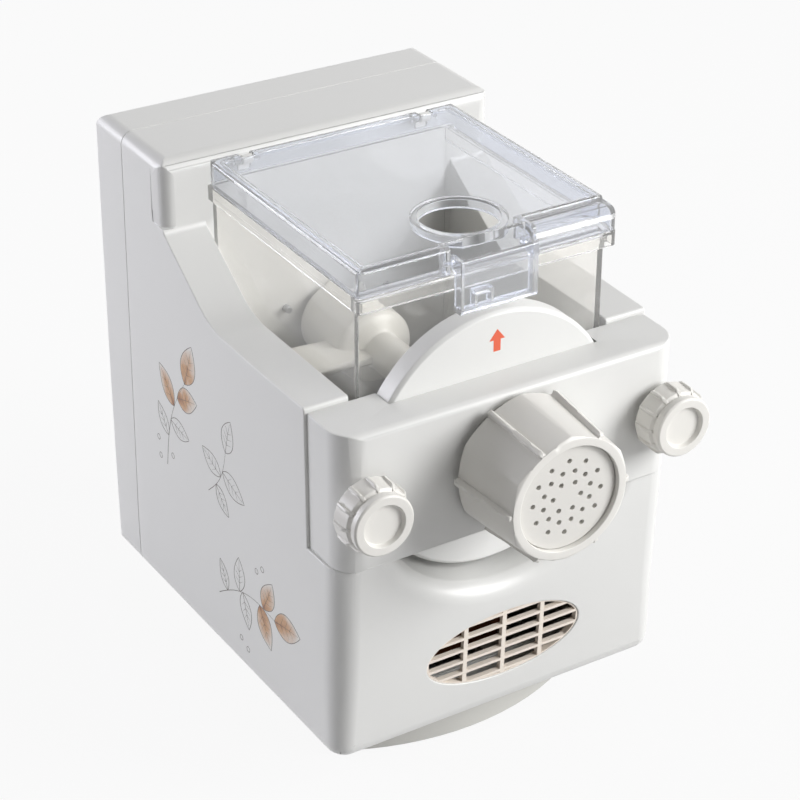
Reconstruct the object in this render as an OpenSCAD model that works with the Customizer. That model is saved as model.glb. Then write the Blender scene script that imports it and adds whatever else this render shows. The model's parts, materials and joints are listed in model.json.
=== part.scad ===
// Electric pasta maker: geared mixing and extruding machine.
// Millimetres. Z up, front toward -Y, standing on z = 0.

/* [Housing] */
// Width across the top of the tower
top_w = 223; // [219:1:232]
// Width across the lower rear edge
base_w = 234; // [230:1:244]
// Centre of the machine to its rear face
case_back = 170; // [165:1:185]
// Depth of the tower
tower_d = 88; // [82:1:96]
// Depth of the rear cover
cover_d = 35; // [32:1:40]
// Height of the housing edge above the table
skirt_z = 40; // [34:1:50]
// Wall thickness of the housing mouldings
wall = 3; // [2.5:0.1:3.2]
// Radius of the upright corners
corner_r = 15; // [10:1:20]
// Radius of the tower top edges
edge_r = 8; // [4:1:10]
// Radius of the edges along the bottom
skirt_r = 10; // [6:0.5:11]
// Radius of the rounded mouth of the hopper bay
mouth_r = 12; // [8:0.5:14]
// Forward lean of the lower front over its height
front_lean = 6; // [0:0.5:10]
// Set-back of the lower front behind the clamp bar
nose_set = 2.5; // [1:0.5:6]
// Rise from the side rims to the tower shoulders
shoulder_rise = 35.5; // [25:0.5:45]
// Length of the sloping shoulders
ramp_d = 57; // [45:1:70]
// Height of the tower top above the lid
tower_rise = 3; // [3:0.5:12]

/* [Base pan and feet] */
// Depth of the plinth below the housing edge
plinth_h = 35; // [28:1:38]
// Set-in of the plinth from the top width on each side
plinth_in = 25.5; // [24:0.5:31]
// Radius of the bowed plinth front
plinth_r = 170; // [130:5:220]
// Clearance between the pan flange and the housing walls
pan_gap = 0.4; // [0.2:0.1:1]
// Radius of a rubber foot
foot_r = 10; // [7:0.5:12]

/* [Vent] */
// Half width of the oval vent
vent_a = 52.5; // [44:0.5:56]
// Half height of the oval vent
vent_b = 23; // [18:0.5:25]
// Height of the vent centre above the housing edge
vent_h = 46.4; // [42:0.2:52]
// Spacing of the vent slots
slot_pitch = 8.2; // [7:0.1:10]
// Height of a vent slot
slot_h = 6.4; // [5:0.1:6.6]
// Depth of the vent slats
slat_d = 3; // [2.6:0.1:3.6]

/* [Hopper and lid] */
// Outer radius of the hopper trough
hopper_r = 80; // [77:0.5:81]
// Wall thickness of the clear mouldings
clear_wall = 2.6; // [2:0.1:3.2]
// Length of the hopper bay
bay_d = 163.5; // [150:0.5:175]
// Gap between the hopper and the bay
bay_gap = 4.5; // [3:0.5:5]
// Height of the hopper rim flange above the mixing axis
flange_h = 96.5; // [90:0.5:102]
// Thickness of the hopper rim flange
flange_t = 9; // [7:0.5:11]
// Overhang of the hopper rim and the lid
overhang = 3; // [2:0.5:4]
// Height of the lid
lid_h = 16; // [14:0.5:18]
// Inner radius of the pour hole
pour_r = 23; // [18:0.5:25]
// Length of the pour collar
collar_l = 7; // [5:0.5:12]
// Half width of the lid latch
latch_x = 24.5; // [20:0.5:28]
// Length of the lid latch
latch_l = 31; // [28:0.5:34]
// Depth of the step in the lid beside the latch
step_d = 15; // [12:0.5:18]
// Radius of the hinge pins
hinge_r = 1.5; // [1.2:0.1:1.8]

/* [Extruding end] */
// Height of the clamp bar
bar_h = 85.4; // [80:0.2:95]
// Depth of the clamp bar
bar_d = 36.5; // [32:0.5:42]
// Thickness of the end disc
disc_t = 14; // [10:0.5:15]
// Inner radius of the barrel
bore_r = 26; // [24:0.5:27]
// Wall thickness of the barrel
barrel_t = 8; // [6:0.5:8]
// Corner radius of the cap nut at the rear
cap_r = 43.5; // [42.5:0.5:48]
// Narrowing of the cap nut toward the front
cap_taper = 3.6; // [2:0.2:4]
// Length of the cap nut
cap_l = 48; // [44:1:56]
// Gap between the cap nut and the clamp bar
cap_gap = 4; // [3:0.5:8]
// Inner radius of the cap nut front ring
ring_r = 31.8; // [30:0.2:32]
// Radius of a die hole
die_hole_r = 1.5; // [1:0.1:1.9]

/* [Thumb nuts] */
// Distance of each stud from the middle
stud_x = 98; // [96:0.5:99]
// Radius of a stud
stud_r = 4; // [3:0.25:5]
// Radius of the thumb nut body
nut_r = 20.2; // [18:0.2:22]
// Radius of the thumb nut front ring
nut_ring_r = 18.3; // [16:0.1:19]
// Length of a thumb nut
nut_l = 20; // [18:0.5:24]
// Number of grip ribs
nut_ribs = 12; // [8:1:16]

/* [Mixer] */
// Radius of the paddle hub
hub_r = 25; // [20:0.5:28]
// Length of the paddle hub
hub_l = 46; // [36:1:56]
// Radius of the paddle shaft
paddle_shaft_r = 12; // [10:0.5:14]
// Reach of the paddle blades from the axis
blade_r = 71; // [64:0.5:73]
// Thickness of the paddle blades
blade_t = 5; // [3:0.5:7]
// Pitch of the auger flight
auger_pitch = 24; // [18:1:32]

/* [Motor and gears] */
// Width and height of the stator
stator_w = 76; // [70:1:77]
// Length of the stator stack
stator_l = 60; // [50:1:62]
// Radius of the rotor
rotor_r = 22; // [20:0.5:24]
// Module of the first gear pair
mod_1 = 1.25; // [1.2:0.01:1.3]
// Module of the second gear pair
mod_2 = 1.5; // [1.45:0.01:1.55]
// Clearance between the motor and the hopper bay above it
motor_gap = 2.65; // [2:0.05:4]
// Width of the gears
gear_w = 10; // [8:0.5:11]
// Radius of the intermediate shafts
shaft_r = 4; // [3:0.25:5]

/* [Switch and inlet] */
// Length of the switch opening
switch_l = 26; // [22:1:30]
// Height of the switch opening
switch_h = 14; // [11:1:17]

/* [Hidden] */
$fn = 72;

ivory = "#E9E8E4";
warm_ivory = "#DAD8D1";
clear = [0.86, 0.9, 0.92, 0.35];
steel = "#A9ACB0";
dark = "#2B2B2D";
brass = "#B99B55";
copper = "#A4492A";

// Running clearance of shafts and pins
fit = 0.06;
// Clearance of parts that only lie beside each other
gap = 0.3;

// Lengthways stations
tower_y = case_back - tower_d;
cover_y = case_back - cover_d;
bay_y = tower_y - bay_d;
bar_y = bay_y - bar_d;
nose_y = bar_y + nose_set;
toe_y = nose_y + front_lean;
plinth_x = top_w / 2 - plinth_in;
// Width of the turned-in lip along the bottom
lip_w = skirt_r + 1;

// Half height of the motor, and the rise from its shaft to the mixing axis
motor_half = 38;
axis_rise = motor_half + motor_gap + wall + bay_gap + hopper_r;

// Gear train: centre distances and their slants; the third pair closes the rise
teeth = [[15, 55], [16, 48], [14, 36]];
slant_1 = 25;
slant_2 = 35;
centre_1 = mod_1 * (teeth[0][0] + teeth[0][1]) / 2;
centre_2 = mod_2 * (teeth[1][0] + teeth[1][1]) / 2;
last_side = centre_2 * sin(slant_2) - centre_1 * sin(slant_1);
last_rise = axis_rise - centre_1 * cos(slant_1) - centre_2 * cos(slant_2);
centres = [centre_1, centre_2, norm([last_side, last_rise])];
slant_3 = atan(last_side / last_rise);
mods = [mod_1, mod_2, 2 * centres[2] / (teeth[2][0] + teeth[2][1])];
backlash = 0.3;

// Heights
pan_t = 3;
post_h = 6.35;
motor_z = skirt_z + pan_t + post_h + motor_half;
axis_z = motor_z + axis_rise;
ledge_z = axis_z - bar_h / 2;
bar_top = axis_z + bar_h / 2;
rim_z = bar_top + 3;
shoulder_z = rim_z + shoulder_rise;
flange_z = axis_z + flange_h;
lid_z = flange_z + flange_t + gap;
lid_top = lid_z + lid_h;
tower_z = lid_top + tower_rise;
well_r = hopper_r + bay_gap;

// Gear positions across and up
first_x = -centres[0] * sin(slant_1);
first_z = motor_z + centres[0] * cos(slant_1);
second_x = first_x + centres[1] * sin(slant_2);
second_z = first_z + centres[1] * cos(slant_2);
phi = [90 + slant_1, 90 - slant_2, 90 + slant_3];
// Turn of a driven gear that puts its gap on the driver's tooth
function mesh_turn(i) =
  let (p = phi[i] * teeth[i][0] / 360)
  phi[i] + 180 - (360 / teeth[i][1]) * (0.5 - (p - floor(p)));

// Gear planes along Y
plate_t = 4;
plate_y = tower_y + 10;
gears_y = plate_y + plate_t + 4;
stage_y = [gears_y, gears_y + gear_w + 3, gears_y + 2 * gear_w + 6];
rear_plate_y = stage_y[2] + gear_w + 5;

// Motor stations along Y
motor_y = tower_y - 82;
bracket_y = 56;
bracket_t = 4;

// Lid hinge and latch axes
lid_t = clear_wall - 0.2;
lug_r = 4;
hinge_y = tower_y - 5;
hinge_z = lid_top - lug_r;
hinge_x = 60;
lug_w = 7;
hopper_back = tower_y - gap;
lid_front = bay_y - 8.5;
lid_back = tower_y - 1;
latch_axis_y = lid_front + 2;
latch_axis_z = lid_top - 9.3;
latch_y = lid_front - 8.5;
latch_in = latch_y + clear_wall;
latch_low = latch_axis_z + 3 - latch_l;
pocket_d = 7.2;
pour_y = lid_front + 33;

// Extruding end stations
disc_front = bay_y - gap - disc_t;
disc_r = hopper_r - 0.5;
barrel_r = bore_r + barrel_t;
cap_back = bar_y - cap_gap;
cap_front = cap_back - cap_l;
lip_t = 4;
die_face = cap_front + 3.2;
die_y = cap_front + lip_t + gap;
die_t = 3;
gasket_t = 1;
barrel_front = die_y + die_t + gasket_t;

// Thumb nut stations
boss_t = 2;
washer_t = 1.5;
nut_back = bar_y - boss_t - washer_t - 0.2;
nut_front = nut_back - nut_l;

// Outline with every corner rounded; each corner is [x, y, radius]
function unit(v) = v / norm(v);
function turn(a) = a > 180 ? a - 360 : (a < -180 ? a + 360 : a);
function corner(a, p, b, r, n) =
  let (
    u = unit(a - p),
    v = unit(b - p),
    h = acos(u * v) / 2,
    c = p + unit(u + v) * r / sin(h),
    s = p + u * r / tan(h) - c,
    e = p + v * r / tan(h) - c,
    a0 = atan2(s.y, s.x),
    da = turn(atan2(e.y, e.x) - a0)
  )
  [for (i = [0:n]) c + r * [cos(a0 + da * i / n), sin(a0 + da * i / n)]];
function rounded(q, n = 6) =
  let (k = len(q))
  [for (i = [0:k - 1])
    let (
      p = [q[i].x, q[i].y],
      a = [q[(i + k - 1) % k].x, q[(i + k - 1) % k].y],
      b = [q[(i + 1) % k].x, q[(i + 1) % k].y]
    )
    each (q[i].z > 0 ? corner(a, p, b, q[i].z, n) : [p])];
function oval(a, b, n = 72) = [for (i = [0:n - 1]) [a * cos(i * 360 / n), b * sin(i * 360 / n)]];

// Prism along X from an outline in Y and Z
module across(q, x0, x1) {
  translate([x0, 0, 0])
    rotate([90, 0, 90])
      linear_extrude(x1 - x0)
        polygon(q);
}

// Prism along Y from an outline in X and Z
module deep(q, y0, y1) {
  translate([0, y1, 0])
    rotate([90, 0, 0])
      linear_extrude(y1 - y0)
        polygon(q);
}

// Round bar along Y; ra is the radius at the front, rb at the rear
module rod(y0, y1, ra, rb = undef) {
  translate([0, y1, 0])
    rotate([90, 0, 0])
      cylinder(h = y1 - y0, r1 = is_undef(rb) ? ra : rb, r2 = ra);
}

// Turned body about Y from an outline in radius and Y
module turned(q) {
  rotate([-90, 0, 0])
    rotate_extrude()
      polygon(q);
}

module box(x0, x1, y0, y1, z0, z1) {
  translate([x0, y0, z0])
    cube([x1 - x0, y1 - y0, z1 - z0]);
}

// Frame that lies in the leaning lower front, Z up the face and Y into the machine
module on_front() {
  translate([0, toe_y, skirt_z])
    rotate([atan(front_lean / (ledge_z - skirt_z)), 0, 0])
      children();
}

// Depth of the leaning lower front at a height
function lean_y(z) = toe_y - front_lean * (z - skirt_z) / (ledge_z - skirt_z);

// Side outline of the housing, set in by d on every face
function side_outline(d) =
  let (ra = atan(shoulder_rise / ramp_d))
  rounded([
    [lean_y(skirt_z + d) + d, skirt_z + d, max(0.5, skirt_r - d)],
    [lean_y(ledge_z - d) + d, ledge_z - d, d > 0 ? 0 : 1.5],
    [bay_y + d, ledge_z - d, 0],
    [bay_y + d, rim_z - d, d > 0 ? 1 : 2],
    [tower_y - ramp_d + d * tan(ra / 2), rim_z - d, 50],
    [tower_y + d, shoulder_z + d * (tan(ra) - 1 / cos(ra)), 5],
    [tower_y + d, tower_z - d, 5 - d / 2],
    [case_back - d, tower_z - d, edge_r - d / 2],
    [case_back - d, skirt_z + d, max(0.5, skirt_r - d)]
  ]);

// Plan outline, wider at the rear
function plan_outline(d) =
  rounded([
    [-top_w / 2 + d, bar_y + nose_set + d, corner_r - d],
    [top_w / 2 - d, bar_y + nose_set + d, corner_r - d],
    [base_w / 2 - d, case_back - d, edge_r - d / 2],
    [-base_w / 2 + d, case_back - d, edge_r - d / 2]
  ]);

// Front outline, wider at the bottom
function front_outline(d) =
  rounded([
    [-base_w / 2 + d, skirt_z + d, 0],
    [base_w / 2 - d, skirt_z + d, 0],
    [top_w / 2 - d, tower_z - d, edge_r - d / 2],
    [-top_w / 2 + d, tower_z - d, edge_r - d / 2]
  ]);

// Half of the housing's block whose lower edge is rounded along the slanted side wall
module side_block(d) {
  slant = atan((base_w - top_w) / 2 / (case_back - nose_y));
  far = top_w + case_back;
  translate([top_w / 2, nose_y, 0])
    rotate([0, 0, -slant])
      deep(rounded([
        [-d, skirt_z + d, max(0.5, skirt_r - d)], [-d, far + tower_z, 0], [-2 * far, far + tower_z, 0],
        [-2 * far, skirt_z + d, 0]
      ]), -far, 2 * far);
}

module body_form(d = 0) {
  intersection() {
    side_block(d);
    mirror([1, 0, 0])
      side_block(d);
    across(side_outline(d), -base_w, base_w);
    translate([0, 0, skirt_z - 10])
      linear_extrude(tower_z)
        polygon(plan_outline(d));
    deep(front_outline(d), bar_y - 20, case_back + 20);
  }
}

// Half width of the housing at a height and depth
function half_at(y, z) =
  min(
    top_w / 2 + (base_w - top_w) / 2 * (y - nose_y) / (case_back - nose_y),
    base_w / 2 - (base_w - top_w) / 2 * (z - skirt_z) / (tower_z - skirt_z)
  );

// Opening in the bottom that the pan closes, set in by d from the outer walls
module floor_prism(d, z0, z1) {
  w = half_at(toe_y, skirt_z);
  translate([0, 0, z0])
    linear_extrude(z1 - z0)
      polygon(rounded([
        [-w + d, toe_y + d, corner_r / 2], [w - d, toe_y + d, corner_r / 2],
        [base_w / 2 - d, case_back - d, edge_r / 2], [-base_w / 2 + d, case_back - d, edge_r / 2]
      ]));
}

// Round-bottomed bay along Y
module bay(r, y0, y1) {
  translate([0, 0, axis_z])
    rod(y0, y1, r);
  box(-r, r, y0, y1, axis_z, tower_z + 30);
}

// Places of the housing screws
cover_screws = [for (s = [-1, 1]) for (z = [skirt_z + 24, tower_z - 22]) [s * (top_w / 2 - 12), z]];
pan_screws = [for (s = [-1, 1]) for (y = [toe_y + 24, cover_y - 14]) [s * (top_w / 2 - lip_w - 4.5), y]];
pillar_spots = [
  [first_x - 44, motor_z + 6], [second_x + 44, motor_z + 6],
  [first_x - 34, axis_z + 26], [second_x + 44, axis_z + 26]
];
pin_x = 33;
pin_z = axis_z + 13.5;
switch_y = toe_y + 62;
switch_z = skirt_z + 46;
switch_x = half_at(switch_y, switch_z) - 1;
inlet_x = top_w / 2 - 37.5;
inlet_z = skirt_z + 34;

module main_housing() {
  color(ivory)
    difference() {
      union() {
        difference() {
          body_form();
          difference() {
            body_form(wall);
            bay(well_r + wall, bar_y - 20, tower_y + wall);
            bay_mouth(wall);
          }
          box(-base_w, base_w, cover_y, case_back + 10, 0, tower_z + 10);
          floor_prism(lip_w, skirt_z - 1, skirt_z + wall + 1);
        }
        housing_posts();
      }
      bay(well_r, bar_y - 20, tower_y);
      bay_mouth();
      on_front()
        translate([0, 0, vent_h])
          deep(oval(vent_a, vent_b), -10, wall + 6);
      translate([0, 0, axis_z])
        rod(tower_y - 1, tower_y + 20, output_hole_r);
      for (s = [-1, 1])
        translate([s * stud_x, 0, axis_z])
          rod(bay_y - 5, bay_y + 14, stud_r + 0.05);
      for (s = [-1, 1])
        translate([s * pin_x, 0, pin_z])
          rod(tower_y - 1, tower_y + 9, 2.05);
      switch_cut();
      for (p = cover_screws)
        translate([p.x, 0, p.y])
          rod(cover_y - 12, cover_y + 1, 1.6);
      for (p = pan_screws)
        translate([p.x, p.y, skirt_z - 1])
          cylinder(h = 14, r = 1.6);
      for (s = [-1, 1])
        translate([s * hinge_x, hinge_y, hinge_z])
          rotate([0, 90, 0])
            cylinder(h = 20, r = hinge_r + 0.02, center = true);
    }
  for (s = [-1, 1])
    color(ivory)
      translate([s * hinge_x, 0, 0])
        hinge_lug();
  color(ivory)
    hopper_rails();
}

output_hole_r = 19;

// Bosses that grow from the housing walls
module housing_posts() {
  intersection() {
    body_form(0.5);
    union() {
      for (s = [-1, 1])
        translate([s * stud_x, 0, axis_z])
          rod(bay_y + 1, bay_y + 16, stud_r + 4);
      for (p = cover_screws)
        translate([p.x, 0, p.y])
          rod(cover_y - 16, cover_y, 5);
      for (p = pan_screws)
        translate([p.x, p.y, skirt_z + pan_t])
          cylinder(h = 16, r = 6);
      for (p = pillar_spots)
        translate([p.x, 0, p.y])
          rod(tower_y + 1, plate_y, 6);
      for (s = [-1, 1])
        translate([s * pin_x, 0, pin_z])
          rod(tower_y + 1, plate_y, 5);
      for (s = [-1, 1]) {
        // webs that tie the screw and stud bosses to the outer walls
        box(s > 0 ? stud_x : -base_w, s > 0 ? base_w : -stud_x, bay_y + 1, bay_y + 14, axis_z - 1.5, axis_z + 1.5);
        for (p = pan_screws)
          box(s > 0 ? p.x : -base_w, s > 0 ? base_w : p.x, p.y - 1.5, p.y + 1.5, skirt_z + pan_t, skirt_z + pan_t + 16);
      }
      for (p = cover_screws)
        box(min(p.x, sign(p.x) * base_w), max(p.x, sign(p.x) * base_w), cover_y - 16, cover_y, p.y - 1.5, p.y + 1.5);
      // the lower gear plate posts stand below the bay, so ribs carry them from the side walls and the bay
      for (i = [0:1])
        let (p = pillar_spots[i]) {
          box(min(p.x, sign(p.x) * base_w), max(p.x, sign(p.x) * base_w), tower_y + 1, plate_y, p.y - 1.5, p.y + 1.5);
          box(p.x - 1.5, p.x + 1.5, tower_y + 1, plate_y, p.y, axis_z - 50);
        }
    }
  }
}

// Rounded mouth of the bay in the leaning front, set out by d for the wall behind it
module bay_mouth(d = 0) {
  r = mouth_r;
  on_front()
    translate([0, 0, axis_z - skirt_z])
      turned(concat(
        [[0, r], [0, -6], [well_r + r, -6]],
        [for (i = [8:-1:0]) [
          well_r + r - (r - d) * cos(i * 90 / 8),
          r - (r - d) * sin(i * 90 / 8)
        ]]
      ));
}

module hinge_lug() {
  difference() {
    union() {
      translate([0, hinge_y, hinge_z])
        rotate([0, 90, 0])
          cylinder(h = lug_w, r = lug_r, center = true);
      box(-lug_w / 2, lug_w / 2, hinge_y, tower_y + 0.5, hinge_z - lug_r, hinge_z + lug_r - 1);
    }
    translate([0, hinge_y, hinge_z])
      rotate([0, 90, 0])
        cylinder(h = 20, r = hinge_r + 0.02, center = true);
  }
}

// Two rails in the bay floor that carry the hopper
module hopper_rails() {
  for (a = [-28, 28])
    translate([0, 0, axis_z])
      rotate([0, a, 0])
        box(-3, 3, bay_y + 12, tower_y - 12, -well_r - 1, -hopper_r - 0.2);
}

module switch_cut() {
  box(switch_x - 12, switch_x + 20, switch_y - switch_l / 2 - 3, switch_y + switch_l / 2 + 3,
    switch_z - switch_h / 2 - 3, switch_z + switch_h / 2 + 3);
  box(switch_x, switch_x + 20, switch_y - switch_l / 2 - 6, switch_y + switch_l / 2 + 6,
    switch_z - switch_h / 2 - 6, switch_z + switch_h / 2 + 6);
}

module rear_cover() {
  color(ivory)
    difference() {
      union() {
        difference() {
          body_form();
          body_form(wall);
          box(-base_w, base_w, bar_y - 30, cover_y, 0, tower_z + 10);
          floor_prism(lip_w, skirt_z - 1, skirt_z + wall + 1);
        }
        intersection() {
          body_form(0.5);
          union() {
            for (p = cover_screws)
              translate([p.x, 0, p.y])
                rod(cover_y, case_back, 6);
            for (p = cover_screws)
              box(min(p.x, sign(p.x) * base_w), max(p.x, sign(p.x) * base_w), cover_y, case_back,
                p.y - 1.5, p.y + 1.5);
          }
        }
      }
      for (p = cover_screws)
        translate([p.x, 0, p.y]) {
          rod(cover_y - 1, case_back + 1, 2.2);
          rod(case_back - 14, case_back + 1, 4.2);
        }
      for (i = [0:6])
        box(-38, 38, case_back - 8, case_back + 2, skirt_z + 24 + i * 9, skirt_z + 27.6 + i * 9);
      box(inlet_x - 24.3 / 2, inlet_x + 24.3 / 2, case_back - 8, case_back + 2, inlet_z - 8.3, inlet_z + 8.3);
    }
}

module rear_cover_screws() {
  color(steel)
    for (p = cover_screws)
      translate([p.x, 0, p.y]) {
        rod(case_back - 14, case_back - 11.4, 3.8);
        rod(cover_y - 11, case_back - 14, 1.6);
      }
}

// Plan of the plinth: straight sides and a bowed front
function plinth_outline(d) =
  let (
    f = toe_y + 29.5 + d,
    r = plinth_r - d,
    w = plinth_x - d,
    b = asin(w / r),
    back = case_back - 28 - d
  )
  concat(
    [for (i = [0:16]) let (t = -b + 2 * b * i / 16) [r * sin(t), f + r - r * cos(t)]],
    [for (i = [0:4]) [w - 14 + 14 * cos(i * 22.5), back - 14 + 14 * sin(i * 22.5)]],
    [for (i = [0:4]) [-w + 14 - 14 * sin(i * 22.5), back - 14 + 14 * cos(i * 22.5)]]
  );

foot_z = skirt_z - plinth_h;
foot_spots = [for (s = [-1, 1]) for (y = [toe_y + 74, case_back - 52]) [s * (plinth_x - 22), y]];

module bottom_pan() {
  color(warm_ivory)
    difference() {
      union() {
        translate([0, 0, foot_z])
          linear_extrude(plinth_h + pan_t)
            polygon(plinth_outline(0));
        floor_prism(lip_w + pan_gap, skirt_z, skirt_z + pan_t);
        for (s = [-1, 1])
          for (y = [-1, 1]) {
            translate([s * 27, motor_y + y * (bracket_y + bracket_t / 2), skirt_z])
              linear_extrude(pan_t + post_h + motor_half - stator_w / 2)
                square([14, 8], center = true);
            translate([s * 27, motor_y + y * (bracket_y + bracket_t / 2), foot_z])
              linear_extrude(plinth_h + pan_t)
                square([16, 10], center = true);
          }
      }
      difference() {
        translate([0, 0, foot_z + 3])
          linear_extrude(plinth_h + pan_t)
            polygon(plinth_outline(3));
        for (s = [-1, 1])
          for (y = [-1, 1])
            translate([s * 27, motor_y + y * (bracket_y + bracket_t / 2), 0])
              linear_extrude(200)
                square([16, 10], center = true);
        for (p = foot_spots)
          translate([p.x, p.y, 0])
            cylinder(h = foot_z + 14, r = 6);
        pan_shelves();
      }
      for (i = [-4:4])
        box(i * 9 - 2, i * 9 + 2, motor_y - 34, motor_y + 34, foot_z - 1, foot_z + 4);
      for (p = foot_spots)
        translate([p.x, p.y, foot_z - 1])
          cylinder(h = 13, r = 1.6);
      for (p = pan_screws)
        translate([p.x, p.y, skirt_z - 1])
          cylinder(h = pan_t + 2, r = 2.2);
    }
}

// Shelves of the pan that carry the capacitor and the terminal block
shelf_x = 68;
module pan_shelves() {
  for (s = [-1, 1])
    box(s * shelf_x - 15, s * shelf_x + 15, motor_y - 10, motor_y + 50, 0, skirt_z + pan_t);
}

module bottom_pan_screws() {
  color(steel)
    for (p = pan_screws)
      translate([p.x, p.y, 0]) {
        translate([0, 0, skirt_z - 2.4])
          cylinder(h = 2.4, r = 4);
        translate([0, 0, skirt_z])
          cylinder(h = 12, r = 1.6);
      }
}

module rubber_feet() {
  color(dark)
    for (p = foot_spots)
      translate([p.x, p.y, 0])
        difference() {
          cylinder(h = foot_z, r1 = foot_r - 1, r2 = foot_r);
          translate([0, 0, foot_z - 2])
            cylinder(h = 3, r = 2.2);
          translate([0, 0, -1])
            cylinder(h = foot_z - 1, r = 4);
        }
}

module foot_screws() {
  color(steel)
    for (p = foot_spots)
      translate([p.x, p.y, 0]) {
        translate([0, 0, foot_z - 4])
          cylinder(h = 2, r = 3.8);
        translate([0, 0, foot_z - 2])
          cylinder(h = 12, r = 1.6);
      }
}

// Oval grille: slats and uprights inside a rim, with a flange behind the wall
module front_grille() {
  rim = 0.9;
  color("#E6DCC4")
    on_front()
      translate([0, 0, vent_h])
        difference() {
          union() {
            deep(oval(vent_a - 0.2, vent_b - 0.2), 0.8, wall + 2);
            deep(oval(vent_a + 3.5, vent_b + 3.5), wall + 0.05, wall + 2);
          }
          deep(oval(vent_a - rim, vent_b - rim), 0.8 + slat_d, wall + 4);
          for (i = [-3:3])
            for (j = [-2:1])
              intersection() {
                deep(oval(vent_a - rim, vent_b - rim), -2, wall + 4);
                box(j * vent_a / 2 + 1.4, (j + 1) * vent_a / 2 - 1.4, -2, wall + 4,
                  (i - 0.5) * slot_pitch + (slot_pitch - slot_h) / 2,
                  (i + 0.5) * slot_pitch - (slot_pitch - slot_h) / 2);
              }
        }
}

module hopper() {
  color(clear)
    difference() {
      union() {
        translate([0, 0, axis_z])
          rod(bay_y, hopper_back, hopper_r);
        box(-hopper_r, hopper_r, bay_y, hopper_back, axis_z, flange_z + 1);
        translate([0, 0, flange_z])
          linear_extrude(flange_t)
            polygon(rounded([
              [-hopper_r - overhang, lid_front, 3], [hopper_r + overhang, lid_front, 3],
              [hopper_r + overhang, hopper_back, 1], [-hopper_r - overhang, hopper_back, 1]
            ], 4));
      }
      translate([0, 0, axis_z])
        rod(bay_y + clear_wall, hopper_back - clear_wall, hopper_r - clear_wall);
      box(-hopper_r + clear_wall, hopper_r - clear_wall, bay_y + clear_wall, hopper_back - clear_wall,
        axis_z, flange_z + flange_t + 1);
      // lightening groove under the rim at the front
      box(-hopper_r - overhang + clear_wall, hopper_r + overhang - clear_wall, lid_front + clear_wall,
        bay_y - clear_wall / 2, flange_z - 1, flange_z + flange_t - clear_wall);
      translate([0, 0, axis_z])
        rod(bay_y - 1, bay_y + clear_wall + 1, disc_r - 3.2);
      translate([0, 0, axis_z])
        rod(hopper_back - clear_wall - 1, hopper_back + 1, 14);
      for (s = [-1, 1])
        translate([s * pin_x, 0, pin_z])
          rod(hopper_back - clear_wall - 1, hopper_back + 1, 2.3);
    }
}

module hopper_locating_pins() {
  color(steel)
    for (s = [-1, 1])
      translate([s * pin_x, 0, pin_z]) {
        rod(tower_y, tower_y + 8, 2.05);
        rod(tower_y - 6, tower_y, 2.05);
      }
}

// Lid plan, set in by d
function lid_plan(d) =
  rounded([
    [-hopper_r - overhang + d, lid_front + d, 4 - d / 2], [hopper_r + overhang - d, lid_front + d, 4 - d / 2],
    [hopper_r + overhang - d, lid_back - d, 6 - d / 2], [-hopper_r - overhang + d, lid_back - d, 6 - d / 2]
  ], 4);

// Space above the low ledge beside the latch, its rounded front edge included; d sets it out
module lid_step(d = 0) {
  r = lid_h / 2;
  z = lid_top - lid_h / 5;
  across(concat(
    [[lid_front - 5, lid_top + 5], [lid_front + step_d + d, lid_top + 5], [lid_front + step_d + d, z - d]],
    [for (i = [0:6]) [lid_front + r - (r - d) * sin(i * 15), z - r + (r - d) * cos(i * 15)]],
    [[lid_front - 5, z - r]]
  ), latch_x + 1.5 + lid_t - d, base_w);
}

// Outside form of the lid with its rounded top edges
module lid_form() {
  w = hopper_r + overhang;
  intersection() {
    translate([0, 0, lid_z])
      linear_extrude(lid_h)
        polygon(lid_plan(0));
    deep(rounded([[-w, lid_z - 1, 0], [w, lid_z - 1, 0], [w, lid_top, 3], [-w, lid_top, 3]], 5),
      lid_front - 1, lid_back + 1);
    across(rounded([
      [lid_front - 1, lid_z - 1, 0], [lid_front, lid_top, 3], [lid_back, lid_top, 3],
      [lid_back, lid_z + 1.6, 0], [lid_back - 7, lid_z + 1.6, 0], [lid_back - 8, lid_z, 0],
      [lid_front - 1, lid_z, 0]
    ], 5), -base_w, base_w);
  }
}

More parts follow.
